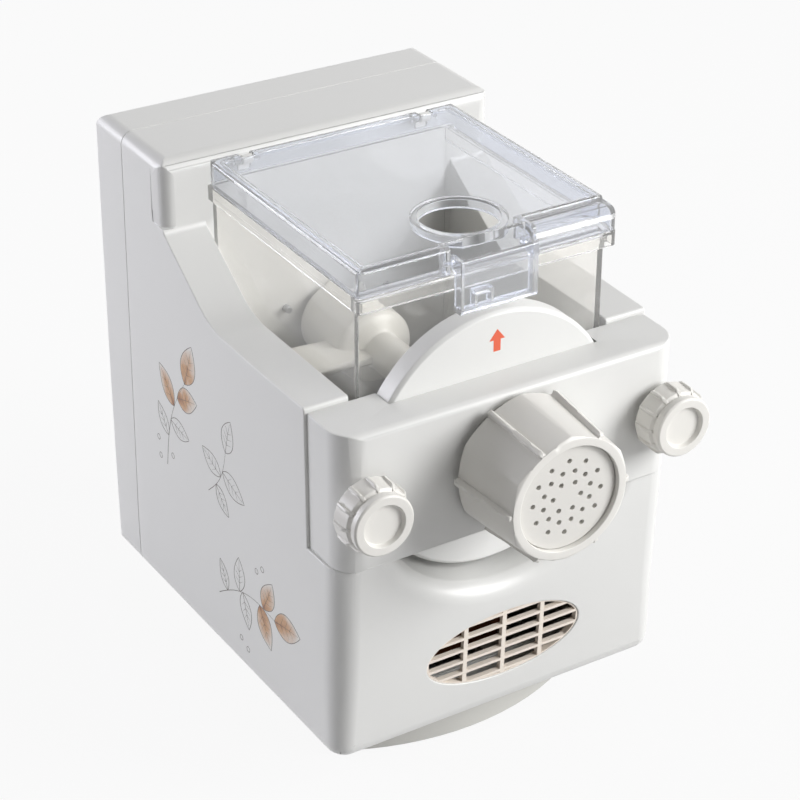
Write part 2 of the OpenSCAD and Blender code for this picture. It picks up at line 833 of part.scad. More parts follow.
module lid() {
  t = lid_t;
  color(clear)
    difference() {
      lid_form();
      lid_step();
      difference() {
        translate([0, 0, lid_z - 1])
          linear_extrude(lid_h - t + 1)
            polygon(lid_plan(t));
        // frame that stiffens the top plate
        translate([0, 0, lid_top - t - 2])
          linear_extrude(4)
            difference() {
              polygon(lid_plan(5));
              polygon(lid_plan(7));
            }
        // ledge beside the latch and the wall that drops from the raised plate
        lid_step(t);
        box(latch_x, base_w, lid_front + step_d, lid_front + step_d + t, lid_top - lid_h + 3, lid_top);
        // walls of the latch pocket
        box(-latch_x - 1.5 - t, latch_x + 1.5 + t, lid_front - 1, lid_front + pocket_d + t, lid_z - 2, lid_top);
        // pour collar
        translate([0, pour_y, lid_top - collar_l])
          cylinder(h = collar_l, r = pour_r + 3.8);
        // ears beside the hinge lugs
        for (s = [-1, 1])
          for (e = [-1, 1])
            translate([s * hinge_x + e * (lug_w / 2 + 2.6), hinge_y, hinge_z])
              rotate([0, 90, 0])
                cylinder(h = 4, r = lug_r - 0.5, center = true);
      }
      box(-latch_x - 1.5, latch_x + 1.5, lid_front - 5, lid_front + pocket_d, lid_z - 1, lid_top + 1);
      translate([0, pour_y, lid_z - 5])
        cylinder(h = lid_h + 10, r = pour_r);
      // notches for the hinge lugs
      for (s = [-1, 1])
        box(s * hinge_x - lug_w / 2 - 0.6, s * hinge_x + lug_w / 2 + 0.6, hinge_y - 4.6, lid_back + 2,
          hinge_z - 9, lid_top + 2);
      for (s = [-1, 1])
        translate([s * hinge_x, hinge_y, hinge_z])
          rotate([0, 90, 0])
            cylinder(h = 20, r = hinge_r + fit, center = true);
      // pin holes of the latch
      for (s = [-1, 1])
        translate([s * latch_x, latch_axis_y, latch_axis_z])
          rotate([0, 90, 0])
            cylinder(h = 12, r = 1.5, center = true);
    }
}

module lid_hinge_pins() {
  color(steel)
    for (s = [-1, 1])
      translate([s * hinge_x, hinge_y, hinge_z])
        rotate([0, 90, 0])
          cylinder(h = lug_w + 8, r = hinge_r, center = true);
}

// Clear flap with side ears, stiffened edges and a pad that bears on the hopper rim
module lid_latch() {
  side_x = latch_x - 1.3;
  color(clear)
    difference() {
      union() {
        across(rounded([
          [latch_y, latch_low, 1.5], [latch_in, latch_low, 0], [latch_in, latch_axis_z + 4, 1],
          [latch_y, latch_axis_z + 4, 1.5]
        ], 4), -latch_x, latch_x);
        for (s = [-1, 1])
          across(rounded([
            [latch_in - 1, latch_axis_z - 14, 0], [lid_front - 1.2, latch_axis_z - 12, 1],
            [lid_front - 1.2, latch_axis_z - 5.6, 1], [latch_axis_y + 4, latch_axis_z - 1.4, 2],
            [latch_axis_y + 4, latch_axis_z + 3.4, 3], [latch_in - 1, latch_axis_z + 3, 0]
          ], 4), s * side_x - 1.3, s * side_x + 1.3);
        for (s = [-1, 1])
          box(s * side_x - 1.3, s * side_x + 1.3, latch_in - 1, lid_front - 1.5, latch_low, latch_axis_z - 10);
        box(-latch_x, latch_x, latch_in - 1, lid_front - 1.5, latch_low, latch_low + 2.4);
        // pad and its two webs
        box(-15, -3, latch_in - 1, lid_front - 0.6, flange_z - 2.8, flange_z - 0.4);
        for (x = [-15, -4.6])
          box(x, x + 1.6, latch_in - 1, lid_front - 1, flange_z - 9, flange_z - 0.4);
      }
      translate([0, latch_axis_y, latch_axis_z])
        rotate([0, 90, 0])
          cylinder(h = 3 * latch_x, r = 1.5 + fit, center = true);
    }
}

module latch_pins() {
  color(clear)
    for (s = [-1, 1])
      translate([s * (latch_x - 0.9), latch_axis_y, latch_axis_z])
        rotate([0, 90, 0])
          cylinder(h = 6.8, r = 1.5, center = true);
}

module end_disc() {
  color(ivory)
    difference() {
      union() {
        translate([0, 0, axis_z])
          turned([
            [0, disc_front], [disc_r - 2, disc_front], [disc_r, disc_front + 2], [disc_r, bay_y - gap],
            [disc_r - 3.6, bay_y - gap], [disc_r - 3.6, bay_y + 5], [0, bay_y + 5]
          ]);
        translate([0, 0, axis_z])
          rod(barrel_front, disc_front + 1, barrel_r);
        translate([0, 0, axis_z])
          rod(disc_front - 3, disc_front + 1, barrel_r + 2);
      }
      translate([0, 0, axis_z])
        rod(barrel_front - 1, bay_y + 10, bore_r);
      // lead-in for the dough
      translate([0, 0, axis_z])
        rod(bay_y - 7, bay_y + 5.1, bore_r - 0.5, bore_r + 12);
    }
}

module clamp_bar() {
  w = top_w / 2 - 1.1;
  color(ivory)
    difference() {
      union() {
        difference() {
          bar_form(w, 0);
          bar_form(w, wall);
        }
        intersection() {
          bar_form(w, 0.5);
          union() {
            for (s = [-1, 1])
              translate([s * stud_x, 0, axis_z])
                rod(bar_y, bay_y, 9);
            translate([0, 0, axis_z])
              rod(bar_y, disc_front - gap, barrel_r + 5);
            for (s = [-1, 1])
              box(s * (hopper_r + 5) - 1.2, s * (hopper_r + 5) + 1.2, bar_y, bay_y, ledge_z, bar_top);
            for (s = [-1, 1])
              for (a = [0.42, 0.72])
                box(s * a * hopper_r - 1.2, s * a * hopper_r + 1.2, bar_y, disc_front - gap, ledge_z, bar_top);
          }
        }
        for (s = [-1, 1])
          translate([s * stud_x, 0, axis_z])
            rod(bar_y - boss_t, bar_y + 1, 12);
      }
      translate([0, 0, axis_z])
        rod(disc_front - gap, bay_y + 1, disc_r + 1);
      translate([0, 0, axis_z])
        rod(bar_y - 1, bay_y + 1, barrel_r + 2.5);
      for (s = [-1, 1])
        translate([s * stud_x, 0, axis_z])
          rod(bar_y - 5, bay_y + 1, stud_r + 0.35);
    }
}

module bar_form(w, d) {
  e = d > 0 ? 5 : 0;
  intersection() {
    translate([0, 0, ledge_z - 5])
      linear_extrude(bar_h + 10)
        polygon(rounded([
          [-w + d, bar_y + d, corner_r + 1 - d], [w - d, bar_y + d, corner_r + 1 - d],
          [w - d, bay_y + e, 0], [-w + d, bay_y + e, 0]
        ], 7));
    across(rounded([
      [bar_y + d, ledge_z + d, 2], [bar_y + d, bar_top - d, 4.5 - d / 2],
      [bay_y + e, bar_top - d, d > 0 ? 0 : 0.8], [bay_y + e, ledge_z + d, 0]
    ]), -base_w, base_w);
  }
}

module bar_studs() {
  color(steel)
    for (s = [-1, 1])
      translate([s * stud_x, 0, axis_z])
        rod(nut_front + 7, bay_y + 14, stud_r);
}

module washer(s) {
  color(steel)
    translate([s * stud_x, 0, axis_z])
      difference() {
        rod(bar_y - boss_t - washer_t, bar_y - boss_t, 11);
        rod(bar_y - boss_t - washer_t - 1, bar_y, stud_r + 0.35);
      }
}

module thumb_nut(s) {
  q = nut_back;
  f = nut_front;
  color(warm_ivory)
    translate([s * stud_x, 0, axis_z])
      difference() {
        union() {
          turned([
            [0, f + 3], [nut_ring_r - 6.4, f + 3], [nut_ring_r - 5.6, f], [nut_ring_r - 1, f],
            [nut_ring_r, f + 1], [nut_ring_r, f + 4.6], [nut_ring_r - 0.8, f + 5],
            [nut_ring_r - 0.8, f + 6], [nut_r - 0.9, f + 7.4], [nut_r, q - 1], [nut_r - 1, q], [0, q]
          ]);
          intersection() {
            turned([
              [0, f + 6], [nut_r - 1.5, f + 6], [nut_r + 1, f + 10], [nut_r + 1, q - 2],
              [nut_r, q - 0.5], [0, q - 0.5]
            ]);
            for (i = [0:nut_ribs - 1])
              rotate([0, i * 360 / nut_ribs, 0])
                box(-1, 1, f, q, nut_r - 4, nut_r + 3);
          }
        }
        rod(f + 5, q + 1, stud_r + 3);
      }
}

module insert(s) {
  color(brass)
    translate([s * stud_x, 0, axis_z])
      difference() {
        rod(nut_front + 5, nut_back, stud_r + 3);
        rod(nut_front + 4, nut_back + 1, stud_r + fit);
      }
}

module left_washer() {
  washer(-1);
}
module right_washer() {
  washer(1);
}
module left_thumb_nut() {
  thumb_nut(-1);
}
module right_thumb_nut() {
  thumb_nut(1);
}
module left_insert() {
  insert(-1);
}
module right_insert() {
  insert(1);
}

// One crowned flank of the cap nut, a wide barrel leaning with the taper
module cap_flank(a) {
  crown = 1.25 * cap_r;
  rotate([0, a, 0])
    translate([0, cap_back, cap_r - 3.2])
      rotate([atan(cap_taper / cap_l), 0, 0])
        translate([0, 0, -crown])
          rod(-cap_l - 12, 8, crown, crown);
}

module cap_nut() {
  color(warm_ivory)
    translate([0, 0, axis_z])
      difference() {
        union() {
          intersection() {
            cap_flank(30);
            cap_flank(90);
            cap_flank(150);
            cap_flank(210);
            cap_flank(270);
            cap_flank(330);
            turned([
              [0, cap_front], [cap_r - cap_taper - 3.6, cap_front], [cap_r - cap_taper - 1.4, cap_front + 1.4],
              [cap_r, cap_front + 5], [cap_r, cap_back - 1], [cap_r - 1, cap_back], [0, cap_back]
            ]);
          }
          intersection() {
            turned([
              [0, cap_front + 0.6], [cap_r - cap_taper - 1.4, cap_front + 0.6],
              [cap_r - cap_taper - 0.2, cap_front + 2], [cap_r, cap_back - 3],
              [cap_r, cap_back - 0.6], [0, cap_back - 0.6]
            ]);
            for (i = [0:5])
              rotate([0, 90 + i * 60, 0])
                box(-1.5, 1.5, cap_front, cap_back, 30, cap_r + 2);
          }
        }
        rod(cap_front - 1, cap_back + 1, ring_r);
        rod(cap_front + lip_t, cap_back + 1, barrel_r + 0.35);
      }
}

// Ring pattern of the die: radius and first angle of each ring, six holes to a ring
die_rings = [[9, 56], [15.5, 13], [15.5, 42.5], [22, 28], [22, 58.5]];

module die_plate() {
  color(warm_ivory)
    translate([0, 0, axis_z])
      difference() {
        union() {
          rod(die_y, die_y + die_t, barrel_r - 0.4);
          rod(die_face, die_y + 0.5, ring_r - 0.4);
        }
        for (q = die_rings)
          for (i = [0:5])
            rotate([0, -q.y - 60 * i, 0])
              translate([q.x, 0, 0])
                rod(die_face - 1, die_y + die_t + 1, die_hole_r, $fn = 24);
      }
}

module die_gasket() {
  color(dark)
    translate([0, 0, axis_z])
      difference() {
        rod(die_y + die_t, barrel_front, barrel_r - 0.6);
        rod(die_y + die_t - 1, barrel_front + 1, bore_r + 1);
      }
}

// Mixing paddle: socketed hub, shaft and slanted blades
paddle_back = hopper_back - clear_wall - 2;
auger_back = bay_y + 2;
drive_r = 7;

module blade(a, y0, y1, tip_w, lean) {
  rotate([0, -a, 0])
    translate([0, (y0 + y1) / 2, 0])
      rotate([lean, 0, 0])
        translate([0, -(y1 - y0) / 2, -blade_t / 2])
          linear_extrude(blade_t)
            polygon(rounded([
              [0, (y1 - y0) * 0.25, 0], [blade_r, (y1 - y0 - tip_w) / 2, 4],
              [blade_r, (y1 - y0 + tip_w) / 2, 4], [0, (y1 - y0) * 0.75, 0]
            ], 4));
}

module mixing_paddle() {
  color("#EDEBE4")
    translate([0, 0, axis_z])
      difference() {
        union() {
          turned([
            [0, paddle_back], [hub_r, paddle_back], [hub_r - 1.5, paddle_back - hub_l + 3],
            [hub_r - 4, paddle_back - hub_l], [paddle_shaft_r, paddle_back - hub_l - 4],
            [paddle_shaft_r, auger_back], [0, auger_back]
          ]);
          blade(178, paddle_back - hub_l - 26, paddle_back - hub_l + 30, 34, 0);
          blade(-2, paddle_back - hub_l - 70, paddle_back - hub_l - 14, 34, 0);
        }
        rod(paddle_back - 30, paddle_back + 1, drive_r, $fn = 6);
      }
}

// Auger: core and one flight turned as a screw
module auger() {
  l = auger_back - barrel_front - 4;
  color("#EDEBE4")
    translate([0, auger_back, axis_z])
      rotate([90, 0, 0])
        linear_extrude(height = l, twist = -360 * l / auger_pitch, slices = ceil(l / 2), $fn = 24)
          polygon(concat(
            [for (i = [0:12]) let (a = 40 + i * 280 / 12) [9 * cos(a), 9 * sin(a)]],
            [for (i = [0:5]) let (a = -28 + i * 56 / 5) [(bore_r - 1) * cos(a), (bore_r - 1) * sin(a)]]
          ));
}

module output_shaft() {
  color(steel)
    translate([0, 0, axis_z]) {
      rod(paddle_back - 29, paddle_back + 0.5, drive_r - 0.1, $fn = 6);
      rod(paddle_back + 0.5, rear_plate_y + plate_t + 1, 8);
    }
}

// Spur gear outline with involute flanks
function inv(a) = tan(a) * 180 / PI - a;
function gear_outline(z, m, start) =
  let (
    rp = z * m / 2,
    rb = rp * cos(20),
    ra = rp + 0.85 * m,
    rr = rp - 1.2 * m,
    rs = max(rb, rr),
    hp = (PI * m / 2 - backlash) / (2 * rp) * 180 / PI,
    rad = [rs + 0.01, rp, ra],
    half = [for (r = rad) hp + inv(20) - inv(acos(min(1, rb / r)))]
  )
  [for (i = [0:z - 1])
    let (a = start + i * 360 / z)
    each concat(
      rs > rr ? [rr * [cos(a - half[0]), sin(a - half[0])]] : [],
      [for (k = [0:2]) rad[k] * [cos(a - half[k]), sin(a - half[k])]],
      [for (k = [2:-1:0]) rad[k] * [cos(a + half[k]), sin(a + half[k])]],
      rs > rr ? [rr * [cos(a + half[0]), sin(a + half[0])]] : []
    )];

module gear(z, m, start, y0, w, hole, web = 0) {
  rp = z * m / 2;
  difference() {
    deep(gear_outline(z, m, start), y0, y0 + w);
    rod(y0 - 1, y0 + w + 1, hole);
    if (web > 0)
      for (s = [0, 1])
        difference() {
          rod(s > 0 ? y0 + w - 3 : y0 - 1, s > 0 ? y0 + w + 1 : y0 + 3, rp - 3 * m);
          rod(y0 - 2, y0 + w + 2, hole + 5);
        }
  }
}

module at(x, z) {
  translate([x, 0, z])
    children();
}

module output_gear() {
  color("#E4DFCE")
    at(0, axis_z)
      gear(teeth[2][1], mods[2], mesh_turn(2), stage_y[2], gear_w, 8, 1);
}
module first_gear() {
  color("#E4DFCE")
    at(first_x, first_z)
      gear(teeth[0][1], mod_1, mesh_turn(0), stage_y[0], gear_w, shaft_r, 1);
}
module second_gear() {
  color("#E4DFCE")
    at(second_x, second_z)
      gear(teeth[1][1], mod_2, mesh_turn(1), stage_y[1], gear_w, shaft_r, 1);
}
module motor_pinion() {
  color(steel)
    at(0, motor_z)
      gear(teeth[0][0], mod_1, 0, stage_y[0] - 1, gear_w + 2, 4);
}
module first_pinion() {
  color(steel)
    at(first_x, first_z)
      gear(teeth[1][0], mod_2, 0, stage_y[0] + gear_w, gear_w + 4, shaft_r);
}
module second_pinion() {
  color(steel)
    at(second_x, second_z)
      gear(teeth[2][0], mods[2], 0, stage_y[1] + gear_w, gear_w + 4, shaft_r);
}
module first_shaft() {
  color(steel)
    at(first_x, first_z)
      rod(plate_y - 1, rear_plate_y + plate_t + 1, shaft_r);
}
module second_shaft() {
  color(steel)
    at(second_x, second_z)
      rod(plate_y - 1, rear_plate_y + plate_t + 1, shaft_r);
}

module intermediate_bushes() {
  color(brass)
    for (p = [[first_x, first_z], [second_x, second_z]])
      for (y = [plate_y, rear_plate_y])
        at(p.x, p.y)
          difference() {
            rod(y, y + plate_t, shaft_r + 3);
            rod(y - 1, y + plate_t + 1, shaft_r + fit);
          }
}

module output_bearings() {
  color(steel)
    for (y = [plate_y - 4, rear_plate_y - 2])
      at(0, axis_z)
        difference() {
          rod(y, y + plate_t + 4, 15);
          rod(y - 1, y + plate_t + 5, 8 + fit);
        }
}

module shaft_seal() {
  color(dark)
    at(0, axis_z)
      difference() {
        rod(tower_y - 0.2, plate_y - 4, output_hole_r - 0.05);
        rod(tower_y - 1, plate_y, 8 + fit);
      }
}

module plate_form(y, motor_hole) {
  difference() {
    deep(rounded([
      [first_x - 54, motor_z - 10, 10], [second_x + 54, motor_z - 10, 10],
      [second_x + 54, axis_z + 42, 16], [first_x - 44, axis_z + 42, 16]
    ], 5), y, y + plate_t);
    for (p = [[first_x, first_z], [second_x, second_z]])
      at(p.x, p.y)
        rod(y - 1, y + plate_t + 1, shaft_r + 3);
    at(0, axis_z)
      rod(y - 1, y + plate_t + 1, 15);
    at(0, motor_z)
      rod(y - 1, y + plate_t + 1, motor_hole);
    for (p = pillar_spots)
      at(p.x, p.y)
        rod(y - 1, y + plate_t + 1, 2.2);
    for (s = [-1, 1])
      at(s * pin_x, pin_z)
        rod(y - 1, y + plate_t + 1, 5.3);
  }
}

module gear_plate_front() {
  color(steel)
    plate_form(plate_y, 13);
}
module gear_plate_rear() {
  color(steel)
    plate_form(rear_plate_y, 8);
}

module gear_pillars() {
  color(steel)
    for (p = pillar_spots)
      at(p.x, p.y)
        rod(plate_y + plate_t, rear_plate_y, 5);
}

// Motor
bolt_x = stator_w / 2 - 6;

module motor_stator() {
  h = stator_w / 2;
  color(steel)
    at(0, motor_z)
      translate([0, motor_y, 0])
        difference() {
          deep(rounded([[-h, -h, 8], [h, -h, 8], [h, h, 8], [-h, h, 8]], 4), -stator_l / 2, stator_l / 2);
          rod(-stator_l, stator_l, rotor_r + 0.5);
          for (sx = [-1, 1])
            for (sz = [-1, 1])
              at(sx * bolt_x, sz * bolt_x)
                rod(-stator_l, stator_l, 2.2);
        }
}

module motor_windings() {
  color(copper)
    at(0, motor_z)
      translate([0, motor_y, 0])
        for (s = [0, 180])
          rotate([0, 0, s])
            turned([
              [rotor_r + 2, stator_l / 2], [rotor_r + 2, stator_l / 2 + 15], [rotor_r + 5, stator_l / 2 + 18],
              [rotor_r + 9, stator_l / 2 + 18], [stator_w / 2 - 5, stator_l / 2 + 13],
              [stator_w / 2 - 4, stator_l / 2 + 4], [stator_w / 2 - 7, stator_l / 2]
            ]);
}

module bracket(s) {
  h = stator_w / 2;
  color(steel)
    at(0, motor_z)
      translate([0, motor_y, 0])
        rotate([0, 0, s > 0 ? 0 : 180])
          difference() {
            union() {
              deep(rounded([[-h, -h, 8], [h, -h, 8], [h, h, 8], [-h, h, 8]], 4), bracket_y, bracket_y + bracket_t);
              for (sx = [-1, 1])
                for (sz = [-1, 1])
                  at(sx * bolt_x, sz * bolt_x)
                    rod(stator_l / 2, bracket_y + 1, 5);
              rod(bracket_y - 4, bracket_y + bracket_t, 12);
            }
            rod(bracket_y - 9, bracket_y + 20, 8);
            for (sx = [-1, 1])
              for (sz = [-1, 1])
                at(sx * bolt_x, sz * bolt_x)
                  rod(-stator_l, stator_l * 2, 2.2);
            for (a = [45, 135, 225, 315])
              rotate([0, a + 45, 0])
                translate([22, 0, 0])
                  rod(bracket_y - 2, bracket_y + 20, 6);
          }
}

module motor_front_bracket() {
  bracket(-1);
}
module motor_rear_bracket() {
  bracket(1);
}

module motor_through_bolts() {
  color(steel)
    at(0, motor_z)
      translate([0, motor_y, 0])
        for (sx = [-1, 1])
          for (sz = [-1, 1])
            at(sx * bolt_x, sz * bolt_x) {
              rod(-bracket_y - bracket_t, bracket_y + bracket_t + 4, 2.2);
              rod(-bracket_y - bracket_t - 3, -bracket_y - bracket_t, 4);
            }
}

module motor_bearings() {
  color(steel)
    at(0, motor_z)
      translate([0, motor_y, 0])
        for (s = [-1, 1])
          difference() {
            rod(s * bracket_y - 3, s * bracket_y + 3, 8);
            rod(s * bracket_y - 4, s * bracket_y + 4, 4 + fit);
          }
}

module rotor_core() {
  color(steel)
    at(0, motor_z)
      translate([0, motor_y, 0])
        difference() {
          rod(-stator_l / 2 - 2, stator_l / 2 + 2, rotor_r);
          rod(-stator_l, stator_l, 4);
        }
}

module motor_shaft() {
  color(steel)
    at(0, motor_z)
      rod(motor_y - bracket_y - bracket_t - 4, stage_y[0] + gear_w + 2, 4);
}

module cooling_fan() {
  y0 = motor_y + bracket_y + bracket_t + 5;
  color(dark)
    at(0, motor_z)
      difference() {
        union() {
          rod(y0, y0 + 12, 10);
          rod(y0, y0 + 1.6, 30);
          for (i = [0:8])
            rotate([0, i * 40, 0])
              box(-0.8, 0.8, y0 + 0.5, y0 + 11, 9, 30);
        }
        rod(y0 - 1, y0 + 13, 4);
      }
}

module capacitor() {
  color("#D8D6CF")
    translate([-shelf_x, 0, skirt_z + pan_t + 14.2])
      rod(motor_y - 8, motor_y + 46, 14);
}

module terminal_block() {
  color("#EDEBE4")
    difference() {
      box(shelf_x - 11, shelf_x + 11, motor_y, motor_y + 40, skirt_z + pan_t, skirt_z + pan_t + 15);
      for (i = [0:3])
        translate([shelf_x, motor_y + 5 + i * 10, skirt_z + pan_t + 6])
          cylinder(h = 12, r = 2.6);
    }
}

module power_inlet() {
  color(dark)
    difference() {
      union() {
        box(inlet_x - 12, inlet_x + 12, case_back - 24, case_back + 0, inlet_z - 8, inlet_z + 8);
        box(inlet_x - 14, inlet_x + 14, case_back - wall - 3, case_back - wall - 0.05, inlet_z - 10, inlet_z + 10);
      }
      deep(rounded([
        [inlet_x - 11, inlet_z - 7, 1], [inlet_x + 11, inlet_z - 7, 1], [inlet_x + 11, inlet_z + 3, 1],
        [inlet_x + 7, inlet_z + 7, 1], [inlet_x - 7, inlet_z + 7, 1], [inlet_x - 11, inlet_z + 3, 1]
      ], 3), case_back - 20, case_back + 2);
    }
  color(steel)
    for (i = [-1:1])
      box(inlet_x + i * 6 - 1, inlet_x + i * 6 + 1, case_back - 21, case_back - 4,
        inlet_z + (i == 0 ? 1 : -1) - 1.5, inlet_z + (i == 0 ? 1 : -1) + 1.5);
}

module switch_bezel() {
  color(warm_ivory)
    difference() {
      union() {
        box(switch_x - 12, switch_x + 0.5, switch_y - switch_l / 2 - 2.8, switch_y + switch_l / 2 + 2.8,
          switch_z - switch_h / 2 - 2.8, switch_z + switch_h / 2 + 2.8);
        box(switch_x, switch_x + 1.8, switch_y - switch_l / 2 - 5.7, switch_y + switch_l / 2 + 5.7,
          switch_z - switch_h / 2 - 5.7, switch_z + switch_h / 2 + 5.7);
      }
      box(switch_x - 10, switch_x + 5, switch_y - switch_l / 2, switch_y + switch_l / 2,
        switch_z - switch_h / 2, switch_z + switch_h / 2);
      translate([switch_x - 4, switch_y, switch_z])
        cylinder(h = switch_h + 3, r = 1.5 + fit, center = true);
    }
}

module mode_rocker() {
  l = switch_l / 2 - 1.4;
  x = switch_x - 4;
  color("#C8452E") {
    translate([x, switch_y, switch_z - switch_h / 2 + 0.4])
      linear_extrude(switch_h - 0.8)
        polygon(rounded([
          [-4, -4, 1], [3, -l, 0], [6.8, -l, 1], [5.4, 0, 30], [6.8, l, 1], [3, l, 0], [-4, 4, 1]
        ], 4));
    translate([x, switch_y, switch_z])
      cylinder(h = switch_h + 2.6, r = 1.5, center = true);
  }
}

main_housing();
rear_cover();
rear_cover_screws();
bottom_pan();
bottom_pan_screws();
rubber_feet();
foot_screws();
front_grille();
hopper();
hopper_locating_pins();
lid();
lid_hinge_pins();
lid_latch();
latch_pins();
end_disc();
clamp_bar();
bar_studs();
left_washer();
left_thumb_nut();
left_insert();
right_washer();
right_thumb_nut();
right_insert();
cap_nut();
die_plate();
die_gasket();
mixing_paddle();
auger();
output_shaft();
output_gear();
output_bearings();
shaft_seal();
first_gear();
first_pinion();
first_shaft();
second_gear();
second_pinion();
second_shaft();
intermediate_bushes();
gear_plate_front();
gear_plate_rear();
gear_pillars();
motor_stator();
motor_windings();
motor_front_bracket();
motor_rear_bracket();
motor_through_bolts();
motor_bearings();
rotor_core();
motor_shaft();
motor_pinion();
cooling_fan();
capacitor();
terminal_block();
power_inlet();
switch_bezel();
mode_rocker();
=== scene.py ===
"""Electric pasta maker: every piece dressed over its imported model, from the feet up to the lid."""

import json
import math

import bmesh
import bpy
from mathutils import Matrix, Vector

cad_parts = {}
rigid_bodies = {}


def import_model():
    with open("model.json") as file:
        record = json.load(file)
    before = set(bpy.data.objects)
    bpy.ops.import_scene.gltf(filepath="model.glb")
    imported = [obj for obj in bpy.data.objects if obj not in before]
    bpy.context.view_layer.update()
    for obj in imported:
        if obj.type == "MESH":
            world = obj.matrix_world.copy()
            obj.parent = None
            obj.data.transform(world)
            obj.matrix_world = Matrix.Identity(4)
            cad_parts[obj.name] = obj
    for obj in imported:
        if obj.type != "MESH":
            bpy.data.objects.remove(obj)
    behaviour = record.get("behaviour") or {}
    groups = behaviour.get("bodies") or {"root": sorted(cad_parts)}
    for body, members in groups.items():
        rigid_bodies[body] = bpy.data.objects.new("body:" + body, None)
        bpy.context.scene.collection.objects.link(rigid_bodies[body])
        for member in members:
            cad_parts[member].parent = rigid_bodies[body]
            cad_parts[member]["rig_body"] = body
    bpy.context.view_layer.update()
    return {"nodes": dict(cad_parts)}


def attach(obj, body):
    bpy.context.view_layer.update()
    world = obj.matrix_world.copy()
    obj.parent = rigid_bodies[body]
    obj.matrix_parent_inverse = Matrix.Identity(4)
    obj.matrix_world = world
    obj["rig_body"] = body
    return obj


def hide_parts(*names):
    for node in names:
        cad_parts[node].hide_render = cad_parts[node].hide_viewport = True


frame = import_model()
nodes = frame["nodes"]
scene = bpy.context.scene
mm = 0.001

# ---------------------------------------------------------------------------
# Studio table: a white laminate sweep under a big soft key from the right front, a
# second softbox from the left rear and two weak ones above and behind. The camera is
# a short telephoto above the front left corner.


def paint(code):
    """Linear colour with alpha from an sRGB hex code."""
    parts = [int(code[i : i + 2], 16) / 255 for i in (1, 3, 5)]
    return [c / 12.92 if c <= 0.04045 else ((c + 0.055) / 1.055) ** 2.4 for c in parts] + [1.0]


def add(owner, kind, inputs=(), **settings):
    """One node in a material, a world or a node group: its settings, then its sockets, each a
    value or another node's output."""
    tree = getattr(owner, "node_tree", owner)
    made = tree.nodes.new(kind)
    for key, value in settings.items():
        setattr(made, key, value)
    for name, value in dict(inputs).items():
        socket = made.inputs[name]
        if isinstance(value, bpy.types.NodeSocket):
            tree.links.new(value, socket)
        else:
            socket.default_value = value
    return made


def fresh(name):
    """Material with no nodes in it yet."""
    material = bpy.data.materials.new(name)
    material.use_nodes = True
    material.node_tree.nodes.clear()
    return material


def seen_rays(owner):
    """1 for the rays that look at a thing: straight, off a polished face or through plastic."""
    ray = add(owner, "ShaderNodeLightPath")
    indirect = add(
        owner,
        "ShaderNodeMath",
        {0: ray.outputs["Is Glossy Ray"], 1: ray.outputs["Is Transmission Ray"]},
        operation="MAXIMUM",
    )
    seen = add(
        owner,
        "ShaderNodeMath",
        {0: ray.outputs["Is Camera Ray"], 1: indirect.outputs[0]},
        operation="MAXIMUM",
    )
    return seen.outputs[0]


scene.view_settings.view_transform = "Standard"

world = bpy.data.worlds.new("studio_room")
scene.world = world
world.use_nodes = True
world.node_tree.nodes.clear()
# a black flag at the left front keeps the room's light on matt faces off the corners there
flag_way = (-0.74, -0.64, 0.2)
flag_rim, flag_middle = 0.55, 0.85
room_strength = 0.34
sky_way = add(world, "ShaderNodeTexCoord")
toward_flag = add(
    world,
    "ShaderNodeVectorMath",
    {0: sky_way.outputs["Generated"], 1: flag_way},
    operation="DOT_PRODUCT",
)
room_level = add(
    world,
    "ShaderNodeMapRange",
    {
        "Value": toward_flag.outputs["Value"],
        "From Min": flag_rim,
        "From Max": flag_middle,
        "To Min": room_strength,
        "To Max": 0.0,
    },
)
room = add(
    world,
    "ShaderNodeBackground",
    {"Color": paint("#F3F2F2"), "Strength": room_level.outputs["Result"]},
)
# the backdrop is the same white to the eye, in polished faces and through clear plastic
backdrop = add(world, "ShaderNodeBackground", {"Color": paint("#FFFFFF"), "Strength": 1.0})
room_mix = add(
    world,
    "ShaderNodeMixShader",
    {0: seen_rays(world), 1: room.outputs[0], 2: backdrop.outputs[0]},
)
add(world, "ShaderNodeOutputWorld", {"Surface": room_mix.outputs[0]})

# white laminate: a matt sheet that reads as plain white; it shows the machine's shadow faintly as
# real shade and, right under the machine, as a painted shadow
sweep = 9
table_top = bpy.data.meshes.new("table_sweep")
table_top.from_pydata(
    [(-sweep, -sweep, 0), (sweep, -sweep, 0), (sweep, sweep, 0), (-sweep, sweep, 0)],
    [],
    [(0, 1, 2, 3)],
)
table = bpy.data.objects.new("table_sweep", table_top)
scene.collection.objects.link(table)
laminate = fresh("white_laminate")
matt_white = add(
    laminate, "ShaderNodeBsdfDiffuse", {"Color": paint("#CCCCCC"), "Roughness": 0.5}
)
white_seen = add(laminate, "ShaderNodeEmission", {"Color": paint("#FFFFFF"), "Strength": 1.0})
# painted shadow: the sweep's glow fades out under the machine, where no light gets in (distances in
# metres)
painted_shadow_to, open_from = 0.045, 0.075
open_glow = 0.92
table_spot = add(laminate, "ShaderNodeTexCoord")
from_middle = add(
    laminate,
    "ShaderNodeVectorMath",
    {0: table_spot.outputs["Object"]},
    operation="LENGTH",
)
glow_outside_painted_shadow = add(
    laminate,
    "ShaderNodeMapRange",
    {
        "Value": from_middle.outputs["Value"],
        "From Min": painted_shadow_to,
        "From Max": open_from,
        "To Min": 0.0,
        "To Max": open_glow,
    },
)
# the painted shadow under the machine sets how much of the sweep shows its glow
table_share = add(
    laminate,
    "ShaderNodeMath",
    {0: seen_rays(laminate), 1: glow_outside_painted_shadow.outputs["Result"]},
    operation="MULTIPLY",
)
table_mix = add(
    laminate,
    "ShaderNodeMixShader",
    {0: table_share.outputs[0], 1: matt_white.outputs[0], 2: white_seen.outputs[0]},
)
add(laminate, "ShaderNodeOutputMaterial", {"Surface": table_mix.outputs[0]})
table_top.materials.append(laminate)


